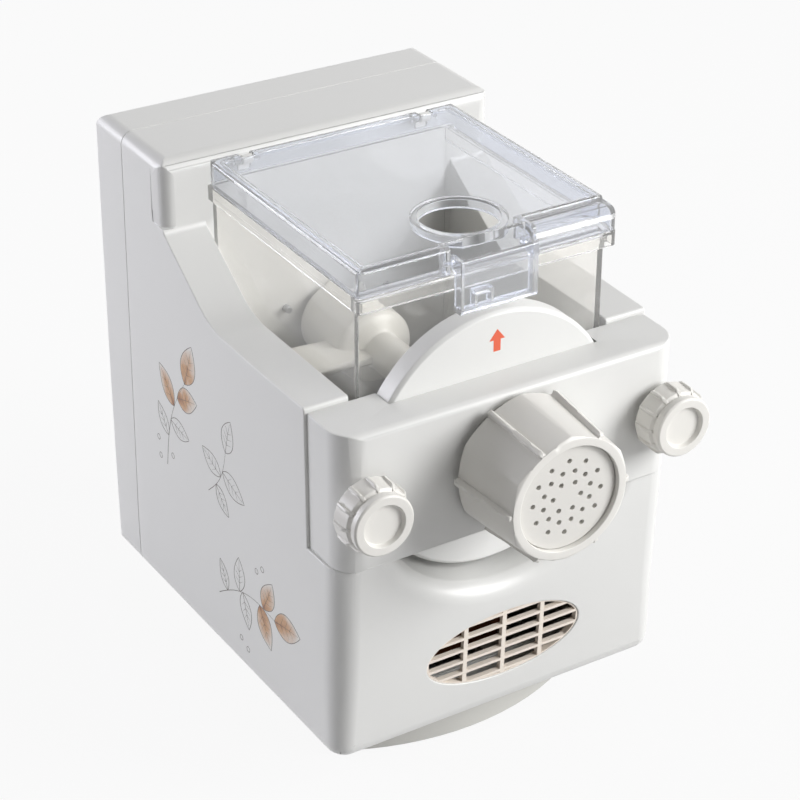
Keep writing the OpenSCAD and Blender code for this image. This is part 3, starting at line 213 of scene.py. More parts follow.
def lamp(name, place, aim, size, power, tint="#FFFFFF"):
    """Softbox at a place in metres, turned to what it lights, with its sides and its watts."""
    light = bpy.data.lights.new(name, "AREA")
    light.shape = "RECTANGLE"
    light.size, light.size_y = size
    light.energy = power
    light.color = paint(tint)[:3]
    holder = bpy.data.objects.new(name, light)
    scene.collection.objects.link(holder)
    holder.location = place
    holder.rotation_euler = (Vector(aim) - Vector(place)).to_track_quat("-Z", "Y").to_euler()


lamp("key_softbox", (1.35, -1.4, 1.0), (0, 0, 0.17), (1.2, 1.2), 46)
lamp("top_softbox", (0.1, -0.1, 1.8), (0, 0, 0.2), (1.3, 1.3), 2)
lamp("left_softbox", (-1.5, 1.45, 0.6), (0, 0.05, 0.17), (1.1, 1.0), 27, "#F7F7FF")
lamp("back_softbox", (0.95, 1.55, 1.15), (0.03, 0.0, 0.33), (1.5, 1.1), 1.5)

# the camera stands at this turn, tilt and distance from the point it looks at
turn, tilt, reach = math.radians(-31.3), math.radians(29.7), 1.3741
aim = Vector((0.0107, 0.02225, 0.1797))
camera_data = bpy.data.cameras.new("camera")
camera_data.sensor_width = 36
camera_data.lens = 102.18
camera_data.clip_start = 0.05
camera = bpy.data.objects.new("camera", camera_data)
scene.collection.objects.link(camera)
camera.location = aim + reach * Vector(
    (math.sin(turn) * math.cos(tilt), -math.cos(turn) * math.cos(tilt), math.sin(tilt))
)
camera.rotation_euler = (aim - camera.location).to_track_quat("-Z", "Y").to_euler()
scene.camera = camera

# ---------------------------------------------------------------------------
# Base pan: a shallow injection-moulded tray in warm ivory ABS whose plinth shows
# as a bowed foot under the front edge. Four screws hold it under the housing, and four
# more hold its moulded rubber feet.


def has_room(vert, edge, sharp, need):
    """True where every side edge that meets this one at the vertex is long enough."""
    straight_on = -0.8
    run = (edge.other_vert(vert).co - vert.co).normalized()
    for beside in vert.link_edges:
        if beside is edge:
            continue
        away = beside.other_vert(vert).co - vert.co
        if beside in sharp and away.normalized().dot(run) < straight_on:
            continue
        if away.length < need:
            return False
    return True


def applied(thing):
    """Mesh of an object with its modifiers applied."""
    depsgraph = bpy.context.evaluated_depsgraph_get()
    return bpy.data.meshes.new_from_object(thing.evaluated_get(depsgraph))


def carved(blank_mesh, name, cuts):
    """The blank after its cuts, each a closed mesh and the boolean operation it cuts with."""
    blank = bpy.data.objects.new(name + "_blank", blank_mesh)
    scene.collection.objects.link(blank)
    for tool_mesh, operation in cuts:
        tool = bpy.data.objects.new(name + "_tool", tool_mesh)
        scene.collection.objects.link(tool)
        cut = blank.modifiers.new("cut", "BOOLEAN")
        cut.operation = operation
        cut.solver = "EXACT"
        cut.object = tool
        shape = applied(blank)
        blank.modifiers.clear()
        blank.data = shape
        bpy.data.objects.remove(tool)
    bpy.data.objects.remove(blank)
    return shape


def round_edges(work, edge, sharp_angle, fine):
    """Round the sharp edges of a moulding by this many millimetres. An edge is rounded where the
    faces beside it are broad enough for that; a fine moulding at all of them, by no more than
    its narrowest face allows."""
    level = 0.002
    room = 2.3
    inner = [(e, e.calc_face_angle(0)) for e in work.edges if len(e.link_faces) == 2]
    flat = [e for e, bend in inner if bend < level]
    bmesh.ops.dissolve_edges(work, edges=flat, use_verts=False, use_face_split=False)
    loose = [v for v in work.verts if not v.link_edges]
    bmesh.ops.delete(work, geom=loose, context="VERTS")
    inner = [(e, e.calc_face_angle(0)) for e in work.edges if len(e.link_faces) == 2]
    # a dict keeps the order of the mesh, so that each run gives the same piece
    sharp = {e: bend for e, bend in inner if bend > sharp_angle}
    need = room * edge * mm
    roomy = [e for e in sharp if fine or all(has_room(v, e, sharp, need) for v in e.verts)]
    bmesh.ops.bevel(
        work,
        geom=roomy,
        offset=edge * mm,
        offset_type="OFFSET",
        segments=2,
        profile=0.5,
        affect="EDGES",
        clamp_overlap=fine,
    )
    bmesh.ops.triangulate(work, faces=[f for f in work.faces if len(f.verts) > 4])


def set_in_order(work):
    """Put the points, edges and faces of a shape in order of place, because rounding leaves their
    order to chance and each run has to give the same piece."""

    def corners(item):
        return sorted(v.index for v in item.verts)

    def place(item):
        return tuple(item.co)

    for parts, key in ((work.verts, place), (work.edges, corners), (work.faces, corners)):
        for rank, item in enumerate(sorted(parts, key=key)):
            item.index = rank
        parts.sort()


def moulding(node, name, finish, edge, cuts=(), fine=False):
    """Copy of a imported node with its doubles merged, cut to shape where that is asked, its sharp
    edges rounded and its skin smooth."""
    merge_gap, sliver_gap = 2e-6, 1e-6
    sharp_angle, crease_angle = math.radians(32), math.radians(36)
    mesh = nodes[node].data.copy()
    mesh.name = name
    work = bmesh.new()
    work.from_mesh(mesh)
    bmesh.ops.remove_doubles(work, verts=work.verts, dist=merge_gap)
    bmesh.ops.dissolve_degenerate(work, dist=sliver_gap, edges=work.edges)
    if cuts:
        work.to_mesh(mesh)
        mesh = carved(mesh, name, cuts)
        work.clear()
        work.from_mesh(mesh)
        bmesh.ops.remove_doubles(work, verts=work.verts, dist=merge_gap)
    round_edges(work, edge, sharp_angle, fine)
    set_in_order(work)
    work.to_mesh(mesh)
    work.free()
    mesh.shade_smooth()
    mesh.set_sharp_from_angle(angle=crease_angle)
    mesh.materials.clear()
    mesh.materials.append(finish)
    piece = bpy.data.objects.new(name, mesh)
    scene.collection.objects.link(piece)
    # broad faces keep their own normals, so that a flat wall shines flat up to its rounded edge
    even = piece.modifiers.new("even_skin", "WEIGHTED_NORMAL")
    even.keep_sharp = True
    even.weight = 100
    smooth = applied(piece)
    piece.modifiers.clear()
    piece.data = smooth
    smooth.name = name
    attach(piece, nodes[node]["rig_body"])
    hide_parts(node)


def dress(node, finish):
    """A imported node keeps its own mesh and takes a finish."""
    mesh = nodes[node].data
    mesh.materials.clear()
    mesh.materials.append(finish)


def glossy_abs(name, colour, rough):
    """Glossy moulded ABS: a fine spark-eroded skin that softens the shine, with a faint drift
    of tone from flow and wear."""
    darkest, grain = 0.94, 0.02
    finish = fresh(name)
    spot = add(finish, "ShaderNodeTexCoord")
    flow = add(
        finish,
        "ShaderNodeTexNoise",
        {"Vector": spot.outputs["Object"], "Scale": 9.0, "Detail": 9.0, "Roughness": 0.55},
    )
    tone = add(finish, "ShaderNodeValToRGB", {"Fac": flow.outputs["Fac"]})
    base = paint(colour)
    tone.color_ramp.interpolation = "B_SPLINE"
    tone.color_ramp.elements[0].position = 0.0
    tone.color_ramp.elements[0].color = [c * darkest for c in base[:3]] + [1]
    tone.color_ramp.elements[1].position = 1.0
    tone.color_ramp.elements[1].color = base
    # the grain of the skin is 0.6 mm wide
    skin = add(
        finish,
        "ShaderNodeTexNoise",
        {"Vector": spot.outputs["Object"], "Scale": 1600.0, "Detail": 2.0, "Roughness": 0.5},
    )
    relief = add(
        finish,
        "ShaderNodeBump",
        {"Height": skin.outputs["Fac"], "Strength": grain, "Distance": 0.0002},
    )
    shell = add(
        finish,
        "ShaderNodeBsdfPrincipled",
        {
            "Base Color": tone.outputs["Color"],
            "Roughness": rough,
            "IOR": 1.53,
            "Normal": relief.outputs["Normal"],
        },
    )
    add(finish, "ShaderNodeOutputMaterial", {"Surface": shell.outputs["BSDF"]})
    return finish


pan_abs = glossy_abs("pan_abs", "#D6D5D0", 0.42)
moulding("bottom_pan", "base_pan", pan_abs, 0.4)


def soft_rubber(name, colour):
    """Moulded rubber: matt black with dust in its pores."""
    finish = fresh(name)
    spot = add(finish, "ShaderNodeTexCoord")
    dust = add(
        finish,
        "ShaderNodeTexNoise",
        {"Vector": spot.outputs["Object"], "Scale": 900.0, "Detail": 4.0},
    )
    tone = add(finish, "ShaderNodeValToRGB", {"Fac": dust.outputs["Fac"]})
    tone.color_ramp.elements[0].position = 0.45
    tone.color_ramp.elements[0].color = paint(colour)
    tone.color_ramp.elements[1].position = 0.85
    tone.color_ramp.elements[1].color = paint("#4A4847")
    pores = add(
        finish,
        "ShaderNodeBump",
        {"Height": dust.outputs["Fac"], "Strength": 0.25, "Distance": 0.0003},
    )
    skin = add(
        finish,
        "ShaderNodeBsdfPrincipled",
        {
            "Base Color": tone.outputs["Color"],
            "Roughness": 0.78,
            "IOR": 1.52,
            "Normal": pores.outputs["Normal"],
        },
    )
    add(finish, "ShaderNodeOutputMaterial", {"Surface": skin.outputs["BSDF"]})
    return finish


foot_rubber = soft_rubber("foot_rubber", "#1E1D1D")
moulding("rubber_feet", "rubber_feet_pads", foot_rubber, 0.5)


def bright_steel(name, colour="#B9BBBE", rough=0.3, lines=3000.0, along="Z"):
    """Turned or rolled steel: fine tool lines stretched along the part, which streak the shine."""
    smoothest, roughest = rough - 0.08, rough + 0.14
    finish = fresh(name)
    spot = add(finish, "ShaderNodeTexCoord")
    stretch = {"X": (0.04, 1, 1), "Y": (1, 0.04, 1), "Z": (1, 1, 0.04)}[along]
    drawn = add(finish, "ShaderNodeMapping", {"Vector": spot.outputs["Object"], "Scale": stretch})
    tool = add(
        finish,
        "ShaderNodeTexNoise",
        {"Vector": drawn.outputs["Vector"], "Scale": lines, "Detail": 3.0},
    )
    shine = add(
        finish,
        "ShaderNodeMapRange",
        {"Value": tool.outputs["Fac"], "To Min": smoothest, "To Max": roughest},
    )
    lines_up = add(
        finish,
        "ShaderNodeBump",
        {"Height": tool.outputs["Fac"], "Strength": 0.08, "Distance": 0.0001},
    )
    metal = add(
        finish,
        "ShaderNodeBsdfPrincipled",
        {
            "Base Color": paint(colour),
            "Metallic": 1.0,
            "Roughness": shine.outputs["Result"],
            "Normal": lines_up.outputs["Normal"],
        },
    )
    add(finish, "ShaderNodeOutputMaterial", {"Surface": metal.outputs["BSDF"]})
    return finish


zinc_steel = bright_steel("zinc_plated_steel")
for screw_set in ("foot_screws", "bottom_pan_screws", "rear_cover_screws"):
    dress(screw_set, zinc_steel)

# ---------------------------------------------------------------------------
# Motor in the base: a laminated stator held by through bolts between two die-cast
# brackets, with red enamelled copper coils that show dimly through the vent.

varnished_steel = bright_steel("varnished_steel", "#6B3A26", 0.45, 2400.0, "X")
for part in ("motor_stator", "rotor_core"):
    dress(part, varnished_steel)
varnished_zinc = bright_steel("varnished_zinc", "#7A4A33", 0.5, 700.0, "Y")
for part in ("motor_front_bracket", "motor_rear_bracket"):
    dress(part, varnished_zinc)
ground_steel = bright_steel("ground_steel", "#C4C6C9", 0.2, 3600.0, "Y")
for part in ("motor_shaft", "motor_through_bolts", "motor_bearings", "motor_pinion"):
    dress(part, ground_steel)

# enamelled copper: a clear coat over metal that goes from dark to bright red along each turn
enamel = fresh("enamelled_copper")
enamel_spot = add(enamel, "ShaderNodeTexCoord")
enamel_drift = add(
    enamel,
    "ShaderNodeTexNoise",
    {"Vector": enamel_spot.outputs["Object"], "Scale": 220.0, "Detail": 3.0},
)
enamel_tone = add(enamel, "ShaderNodeValToRGB", {"Fac": enamel_drift.outputs["Fac"]})
enamel_tone.color_ramp.elements[0].position = 0.35
enamel_tone.color_ramp.elements[0].color = paint("#6E2413")
enamel_tone.color_ramp.elements[1].position = 0.7
enamel_tone.color_ramp.elements[1].color = paint("#B4502C")
enamel_skin = add(
    enamel,
    "ShaderNodeBsdfPrincipled",
    {
        "Base Color": enamel_tone.outputs["Color"],
        "Metallic": 0.75,
        "Roughness": 0.32,
        "Coat Weight": 0.6,
        "Coat Roughness": 0.15,
    },
)
add(enamel, "ShaderNodeOutputMaterial", {"Surface": enamel_skin.outputs["BSDF"]})
dress("motor_windings", enamel)

# turns of wire laid over both coil heads: one ring at each point of the head's outline, which
# goes by radius and by distance from the middle of the motor
head = [(24, 30), (24, 45), (27, 48), (31, 48), (33, 43), (34, 34), (31, 30.4)]
wire_r, wire_pitch, looseness = 0.55, 1.5, 0.6
motor_axis_z = 87.35
laid = []
for (r0, y0), (r1, y1) in zip(head, head[1:]):
    count = max(1, round(math.hypot(r1 - r0, y1 - y0) / wire_pitch))
    laid += [(r0 + (r1 - r0) * k / count, y0 + (y1 - y0) * k / count) for k in range(count)]
ring_marks = bpy.data.meshes.new("coil_marks")
ring_marks.from_pydata([(0, side * y * mm, 0) for side in (1, -1) for r, y in laid], [], [])
span = ring_marks.attributes.new("span", "FLOAT", "POINT")
span.data.foreach_set("value", [r * mm for side in (1, -1) for r, y in laid])
coil = bpy.data.objects.new("coil_turns", ring_marks)
scene.collection.objects.link(coil)

# the winder sets a loop of wire on each mark, a little out of line, and gives it its thickness
winder = bpy.data.node_groups.new("lay_coil_turns", "GeometryNodeTree")
winder.interface.new_socket("Geometry", in_out="INPUT", socket_type="NodeSocketGeometry")
wire_socket = winder.interface.new_socket(
    "Wire radius", in_out="INPUT", socket_type="NodeSocketFloat"
)
loose_socket = winder.interface.new_socket(
    "Looseness", in_out="INPUT", socket_type="NodeSocketFloat"
)
winder.interface.new_socket("Geometry", in_out="OUTPUT", socket_type="NodeSocketGeometry")

marks = add(winder, "NodeGroupInput")
loop = add(winder, "GeometryNodeCurvePrimitiveCircle", {"Resolution": 48, "Radius": 1.0})
width = add(winder, "GeometryNodeInputNamedAttribute", {"Name": "span"}, data_type="FLOAT")
wander = add(
    winder,
    "FunctionNodeRandomValue",
    {"Min": (0.0, 0.0, 0.0), "Max": (1.0, 1.0, 1.0), "Seed": 7},
    data_type="FLOAT_VECTOR",
)
centred = add(
    winder, "ShaderNodeVectorMath", {0: wander.outputs[0], 1: (-0.5, -0.5, -0.5)}, operation="ADD"
)
shaken = add(
    winder,
    "ShaderNodeVectorMath",
    {0: centred.outputs[0], "Scale": marks.outputs["Looseness"]},
    operation="SCALE",
)
moved = add(
    winder,
    "GeometryNodeSetPosition",
    {"Geometry": marks.outputs["Geometry"], "Offset": shaken.outputs[0]},
)
placed = add(
    winder,
    "GeometryNodeInstanceOnPoints",
    {
        "Points": moved.outputs["Geometry"],
        "Instance": loop.outputs["Curve"],
        "Rotation": (math.pi / 2, 0.0, 0.0),
        "Scale": width.outputs[0],
    },
)
apart = add(winder, "GeometryNodeRealizeInstances", {"Geometry": placed.outputs["Instances"]})
section = add(
    winder,
    "GeometryNodeCurvePrimitiveCircle",
    {"Resolution": 6, "Radius": marks.outputs["Wire radius"]},
)
drawn = add(
    winder,
    "GeometryNodeCurveToMesh",
    {"Curve": apart.outputs["Geometry"], "Profile Curve": section.outputs["Curve"]},
)
varnished = add(
    winder, "GeometryNodeSetMaterial", {"Geometry": drawn.outputs["Mesh"], "Material": enamel}
)
add(winder, "NodeGroupOutput", {"Geometry": varnished.outputs["Geometry"]})

wind = coil.modifiers.new("lay_coil_turns", "NODES")
wind.node_group = winder
wind[wire_socket.identifier] = wire_r * mm
wind[loose_socket.identifier] = looseness * mm
turns = applied(coil)
coil.modifiers.clear()
turns.transform(Matrix.Translation((0, 0, motor_axis_z * mm)))
coil.data = turns
turns.materials.clear()
turns.materials.append(enamel)
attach(coil, nodes["motor_windings"]["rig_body"])

dress("cooling_fan", glossy_abs("fan_plastic", "#26272A", 0.45))
dress("capacitor", bright_steel("drawn_can", "#C9C7C0", 0.36, 1800.0, "Y"))
dress("terminal_block", glossy_abs("terminal_nylon", "#E4E0D2", 0.5))

# ---------------------------------------------------------------------------
# Gear train in the tower: moulded nylon wheels and cut steel pinions on ground shafts, in
# bronze bushes and steel bearings between two rolled plates held apart by pillars.

gear_nylon = glossy_abs("gear_nylon", "#DAD3BE", 0.4)
for part in ("first_gear", "second_gear", "output_gear"):
    dress(part, gear_nylon)
for part in ("first_pinion", "second_pinion", "output_bearings"):
    dress(part, ground_steel)
for part in ("first_shaft", "second_shaft", "output_shaft"):
    dress(part, ground_steel)
plate_steel = bright_steel("rolled_plate", "#A2A4A8", 0.38, 1500.0, "X")
for part in ("gear_plate_front", "gear_plate_rear", "gear_pillars"):
    dress(part, plate_steel)
bush_bronze = bright_steel("bush_bronze", "#B08A4A", 0.35, 2600.0, "Y")
dress("intermediate_bushes", bush_bronze)
seal_rubber = soft_rubber("seal_rubber", "#242322")
dress("shaft_seal", seal_rubber)

# ---------------------------------------------------------------------------
# Main housing and rear cover: glossy white ABS shells with a few millimetres of wall, the
# cover closed on from behind with four screws; the parting line runs down both sides.

housing_abs = glossy_abs("housing_abs", "#E6E6E4", 0.33)

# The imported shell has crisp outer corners. Here they are rounded by cutting the copy: first
# with a form that leans as the lower front does, a stack of plans that hug the side walls.
toe_y, skirt_z, lean = -109.5, 40.0, 6 / 132.8
half_front, side_slope, wall_run = 111.65, 0.09, 320
skirt_r, low_corner_r, high_corner_r, skirt_ease = 10, 12, 14.5, 0.2
widened_z, form_top = 95, 360
corner_arc = [math.radians(a) for a in range(0, 85, 7)]
# each plan: its height, how far the skirt's rounding draws it in, and its corner radius
levels = []
skirt_arc = (0, 0.3, 0.6, 0.9, 1.2)
for a in skirt_arc:
    drawn_in = skirt_r - skirt_r * math.sin(a)
    level_z = skirt_z + skirt_r - skirt_r * math.cos(a)
    levels.append((level_z, drawn_in, low_corner_r - drawn_in + skirt_ease))
levels.append((skirt_z + skirt_r, 0, low_corner_r))
levels += [(widened_z, 0, high_corner_r), (form_top, 0, high_corner_r)]

lean_form = bmesh.new()
rings = []
for z, d, r in levels:
    plan = [
        (half_front - d - r + r * math.sin(a), d + r - r * math.cos(a)) for a in corner_arc
    ]
    plan.append((plan[-1][0] + wall_run * side_slope, plan[-1][1] + wall_run))
    plan += [(-x, y) for x, y in reversed(plan)]
    leaned = [(x * mm, (toe_y + y - lean * (z - skirt_z)) * mm, z * mm) for x, y in plan]
    rings.append([lean_form.verts.new(point) for point in leaned])
lean_form.faces.new(rings[0][::-1])
lean_form.faces.new(rings[-1])
for low, high in zip(rings, rings[1:]):
    for k in range(len(low)):
        n = (k + 1) % len(low)
        lean_form.faces.new((low[k], low[n], high[n], high[k]))
bmesh.ops.recalc_face_normals(lean_form, faces=lean_form.faces)
lean_mesh = bpy.data.meshes.new("lean_form")
lean_form.to_mesh(lean_mesh)
lean_form.free()


def corner_tool(name, corner, radius, span, place):
    """Closed bar that rounds an outer corner: what lies outside a quarter circle that touches
    both faces. The corner is given in the bar's own plane, and place turns that into space."""
    u, v, su, sv = corner
    reach, lap = 6, 0.3
    arc_steps = [math.radians(a) for a in range(2, 89, 8)]
    inner_u, inner_v = u - su * (radius + reach), v - sv * (radius + reach)
    outer_u, outer_v = u + su * reach, v + sv * reach
    flat = [
        (u - su * radius * (1 - math.sin(a)), v - sv * radius * (1 - math.cos(a)))
        for a in arc_steps
    ]
    flat += [(u + su * lap, inner_v), (outer_u, inner_v), (outer_u, outer_v)]
    flat += [(inner_u, outer_v), (inner_u, v + sv * lap)]
    bar_form = bmesh.new()
    ends = [[bar_form.verts.new([c * mm for c in place(a, b, w)]) for a, b in flat] for w in span]
    bar_form.faces.new(ends[0])
    bar_form.faces.new(ends[1][::-1])
    for k in range(len(flat)):
        n = (k + 1) % len(flat)
        bar_form.faces.new((ends[0][k], ends[0][n], ends[1][n], ends[1][k]))
    bmesh.ops.recalc_face_normals(bar_form, faces=bar_form.faces)
    tool_mesh = bpy.data.meshes.new(name)
    bar_form.to_mesh(tool_mesh)
    bar_form.free()
    return tool_mesh


# then the tower's front edges, which are rounder than its other edges: along its top and down
# its two sides, which draw in toward the top
tower_y, tower_top, shoulder = 82.0, 340.3, 299.0
top_r, side_r, across = 9, 8, 140
tower_half, tower_half_z, tower_taper = 111.87, 320, 0.0183


def along_top(y, z, x):
    """The bar's own plane stands across the tower's top."""
    return (x, y, z)


def down_side(x, y, z):
    """The bar's own plane lies level, and moves in with the wall as it goes up."""
    return (x - math.copysign((z - tower_half_z) * tower_taper, x), y, z)


top_corner = (tower_y, tower_top, -1, 1)
top_tool = corner_tool("top_rounding", top_corner, top_r, (-across, across), along_top)
housing_cuts = [(lean_mesh, "INTERSECT"), (top_tool, "DIFFERENCE")]
for side in (-1, 1):
    side_corner = (side * tower_half, tower_y, side, -1)
    side_tool = corner_tool("side_rounding", side_corner, side_r, (shoulder, form_top), down_side)
    housing_cuts.append((side_tool, "DIFFERENCE"))
moulding("main_housing", "housing_shell", housing_abs, 0.8, cuts=housing_cuts)
moulding("rear_cover", "rear_shell", housing_abs, 0.5)

# ---------------------------------------------------------------------------
# Printed sprigs on the left wall: grey-brown leaf outlines and a few leaves washed in
# warm brown, pad-printed as a film a few hundredths of a millimetre thick on the shell.

# how far the ink and the wash stand proud of the wall, and how far both reach into it
ink_top, wash_top, film_root = 0.06, 0.03, -0.05
# widths of the printed lines
rim_line, rib_line, vein_line = 0.42, 0.36, 0.24
berry_r = 1.8
stem_steps = 18


def wall_x(y, z):
    """Half width of the shell: the narrower of its plan, which widens toward the back, and its
    front view, which draws in toward the top."""
    nose_y, back_y = -115.5, 170
    narrow, wide = 111.5, 117
    plan = narrow + (wide - narrow) * (y - nose_y) / (back_y - nose_y)
    rise = (z - skirt_z) / (tower_top - skirt_z)
    return min(plan, wide - (wide - narrow) * rise)


def film_point(y, z, proud):
    """Point on the left wall, or this far proud of it."""
    return (-(wall_x(y, z) + proud) * mm, y * mm, z * mm)


def stroke(work, line, width, closed=False, taper=False):
    """Closed ribbon of film along a line of (y, z) points; a tapered one thins to its tip."""
    tip_loss = 0.75
    rows = []
    last = len(line) - 1
    for i, (y, z) in enumerate(line):
        a = line[(i - 1) % len(line)] if closed or i else line[i]
        b = line[(i + 1) % len(line)] if closed or i < last else line[i]
        dy, dz = b[0] - a[0], b[1] - a[1]
        size = math.hypot(dy, dz) or 1
        half = width / 2 * (1 - tip_loss * i / last if taper else 1)
        ny, nz = -dz / size * half, dy / size * half
        rows.append(
            [
                work.verts.new(film_point(y + ny, z + nz, ink_top)),
                work.verts.new(film_point(y - ny, z - nz, ink_top)),
                work.verts.new(film_point(y - ny, z - nz, film_root)),
                work.verts.new(film_point(y + ny, z + nz, film_root)),
            ]
        )
    pairs = list(zip(rows, rows[1:])) + ([(rows[-1], rows[0])] if closed else [])
    for one, two in pairs:
        for k in range(4):
            work.faces.new((one[k], one[(k + 1) % 4], two[(k + 1) % 4], two[k]))
    if not closed:
        work.faces.new(rows[0])
        work.faces.new(rows[-1][::-1])


def leaf_edge(base, heading, length, width, bend, side, t):
    """Point of a leaf's edge, t from its stalk to its tip; side 0 is the midrib."""
    along = length * t
    belly, fullness = 0.85, 0.9
    swell = math.sin(math.pi * t**belly) ** fullness
    across_it = side * width / 2 * swell + bend * math.sin(math.pi * t / 2)
    c, s = math.cos(heading), math.sin(heading)
    return (base[0] + along * c - across_it * s, base[1] + along * s + across_it * c)


def leaf(base, heading, length, width, bend, washed):
    """Outline, midrib and veins of a leaf that grows from a point of its stem."""
    steps, rib_steps, rib_end = 14, 8, 0.92
    vein_rise, vein_reach = 0.13, 0.72
    shape = (base, math.radians(heading), length, width, bend)
    rim = [leaf_edge(*shape, 1, i / steps) for i in range(steps + 1)]
    rim += [leaf_edge(*shape, -1, i / steps) for i in range(steps - 1, 0, -1)]
    stroke(print_lines, rim, rim_line, closed=True)
    rib = [leaf_edge(*shape, 0, i / rib_steps * rib_end) for i in range(rib_steps + 1)]
    stroke(print_lines, rib, rib_line, taper=True)
    for k in (0.25, 0.42, 0.59):
        for side in (1, -1):
            root = leaf_edge(*shape, 0, k)
            tip = leaf_edge(*shape, side * vein_reach, k + vein_rise)
            halfway = ((root[0] + tip[0]) / 2, (root[1] + tip[1]) / 2)
            stroke(print_lines, [root, halfway, tip], vein_line, taper=True)
    if washed:
        sheet_of(shape)


def sheet_of(shape):
    """Film inside a leaf; it is densest at the stalk and thins out toward the tip."""
    steps, ribs = 16, 6
    inset, fade, rim_loss = 0.02, 0.8, 0.45
    store = print_washes.verts.layers.float["wash"]
    skins = []
    for proud in (wash_top, film_root):
        skin = []
        for i in range(steps + 1):
            t = inset + (1 - 2 * inset) * i / steps
            row = []
            for j in range(ribs + 1):
                side = (1 - 2 * inset) * (2 * j / ribs - 1)
                vert = print_washes.verts.new(film_point(*leaf_edge(*shape, side, t), proud))
                vert[store] = (1 - t) ** fade * (1 - rim_loss * abs(side))
                row.append(vert)
            skin.append(row)
        skins.append(skin)
    top, low = skins
    for i in range(steps):
        for j in range(ribs):
            near, far = top[i], top[i + 1]
            print_washes.faces.new((near[j], near[j + 1], far[j + 1], far[j]))
            near, far = low[i], low[i + 1]
            print_washes.faces.new((near[j], far[j], far[j + 1], near[j + 1]))
    rim = [(0, j) for j in range(ribs)] + [(i, ribs) for i in range(steps)]
    rim += [(steps, j) for j in range(ribs, 0, -1)] + [(i, 0) for i in range(steps, 0, -1)]
    for (i, j), (k, m) in zip(rim, rim[1:] + rim[:1]):
        print_washes.faces.new((top[i][j], low[i][j], low[k][m], top[k][m]))


def berry(y, z):
    """Small open ring beside a sprig."""
    turn_by = [k * math.pi / 6 for k in range(12)]
    ring = [(y + berry_r * math.cos(a), z + berry_r * math.sin(a)) for a in turn_by]
    stroke(print_lines, ring, rib_line, closed=True)


def curved_stem(foot, tip, sag):
    """Points of a stem from its foot to its tip, sagging to one side between them."""
    dy, dz = tip[0] - foot[0], tip[1] - foot[1]
    size = math.hypot(dy, dz)
    points = []
    for k in range(stem_steps + 1):
        off = sag * math.sin(math.pi * k / stem_steps)
        points.append(
            (
                foot[0] + dy * k / stem_steps - dz / size * off,
                foot[1] + dz * k / stem_steps + dy / size * off,
            )
        )
    return points


print_lines = bmesh.new()
print_washes = bmesh.new()
print_washes.verts.layers.float.new("wash")

# each sprig: its stem (foot, tip, sag, width), its leaves (step along the stem, heading, length,
# width, bend, and whether it is washed with colour) and its berries; places are (y, z)
sprigs = (
    # upper sprig
    (
        ((88, 140), (58, 212), -7, 0.5),
        (
            (17, 106, 31, 18, 2, True),
            (13, 168, 27, 16, -2, True),
            (11, 44, 28, 15, 2, True),
            (8, 182, 24, 12, 2, False),
            (5, 58, 22, 11, -2, False),
        ),
        ((80, 150), (99, 154), (97, 142)),
    ),
    # small outline sprig in the middle
    (
        ((34, 150), (10, 190), 5, 0.45),
        (
            (17, 112, 25, 14, -2, False),
            (11, 196, 27, 14, 2, False),
            (9, 30, 24, 13, -2, False),
            (5, 222, 21, 11, 2, False),
        ),
        (),
    ),
    # lower sprig toward the front
    (
        ((26, 82), (-46, 100), -9, 0.5),
        (
            (17, 174, 30, 18, -2, True),
            (13, 240, 28, 17, 2, True),
            (14, 112, 26, 15, 2, True),
            (8, 260, 24, 13, -2, False),
            (7, 86, 24, 13, 2, False),
            (3, 60, 20, 10, 2, False),
        ),
        ((-22, 124), (-29, 129), (0, 64), (-8, 60)),
    ),
)
for (foot, tip, sag, stem_line), leaves, berries in sprigs:
    stem = curved_stem(foot, tip, sag)
    stroke(print_lines, stem, stem_line, taper=True)
    for at, heading, length, width, bend, washed in leaves:
        leaf(stem[at], heading, length, width, bend, washed)
    for y, z in berries:
        berry(y, z)

# printing ink: satin, and broken from dark to pale like a dry screen print
ink = fresh("print_ink")
ink_spot = add(ink, "ShaderNodeTexCoord")
ink_break = add(
    ink,
    "ShaderNodeTexNoise",
    {"Vector": ink_spot.outputs["Object"], "Scale": 260.0, "Detail": 3.0},
)
ink_tone = add(ink, "ShaderNodeValToRGB", {"Fac": ink_break.outputs["Fac"]})
ink_tone.color_ramp.elements[0].position = 0.35
ink_tone.color_ramp.elements[0].color = paint("#4B423B")
ink_tone.color_ramp.elements[1].position = 0.7
ink_tone.color_ramp.elements[1].color = paint("#7B726A")
ink_skin = add(
    ink,
    "ShaderNodeBsdfPrincipled",
    {"Base Color": ink_tone.outputs["Color"], "Roughness": 0.42, "IOR": 1.5},
)
add(ink, "ShaderNodeOutputMaterial", {"Surface": ink_skin.outputs["BSDF"]})

# watercolour wash: its density comes from the film, broken up like pigment on gloss
wash = fresh("print_wash")
wash_spot = add(wash, "ShaderNodeTexCoord")
density = add(wash, "ShaderNodeAttribute", attribute_name="wash")
pigment = add(
    wash,
    "ShaderNodeTexNoise",
    {"Vector": wash_spot.outputs["Object"], "Scale": 120.0, "Detail": 5.0},
)
uneven = add(
    wash,
    "ShaderNodeMath",
    {0: density.outputs["Fac"], 1: pigment.outputs["Fac"], 2: -0.05},
    operation="MULTIPLY_ADD",
)
deep = add(
    wash,
    "ShaderNodeMath",
    {0: uneven.outputs[0], 1: 2.1},
    operation="MULTIPLY",
    use_clamp=True,
)
wash_tone = add(wash, "ShaderNodeValToRGB", {"Fac": deep.outputs[0]})
wash_tone.color_ramp.elements[0].color = paint("#E2DFDA")
wash_tone.color_ramp.elements[1].color = paint("#8F5227")
middle = wash_tone.color_ramp.elements.new(0.5)
middle.color = paint("#C5986F")
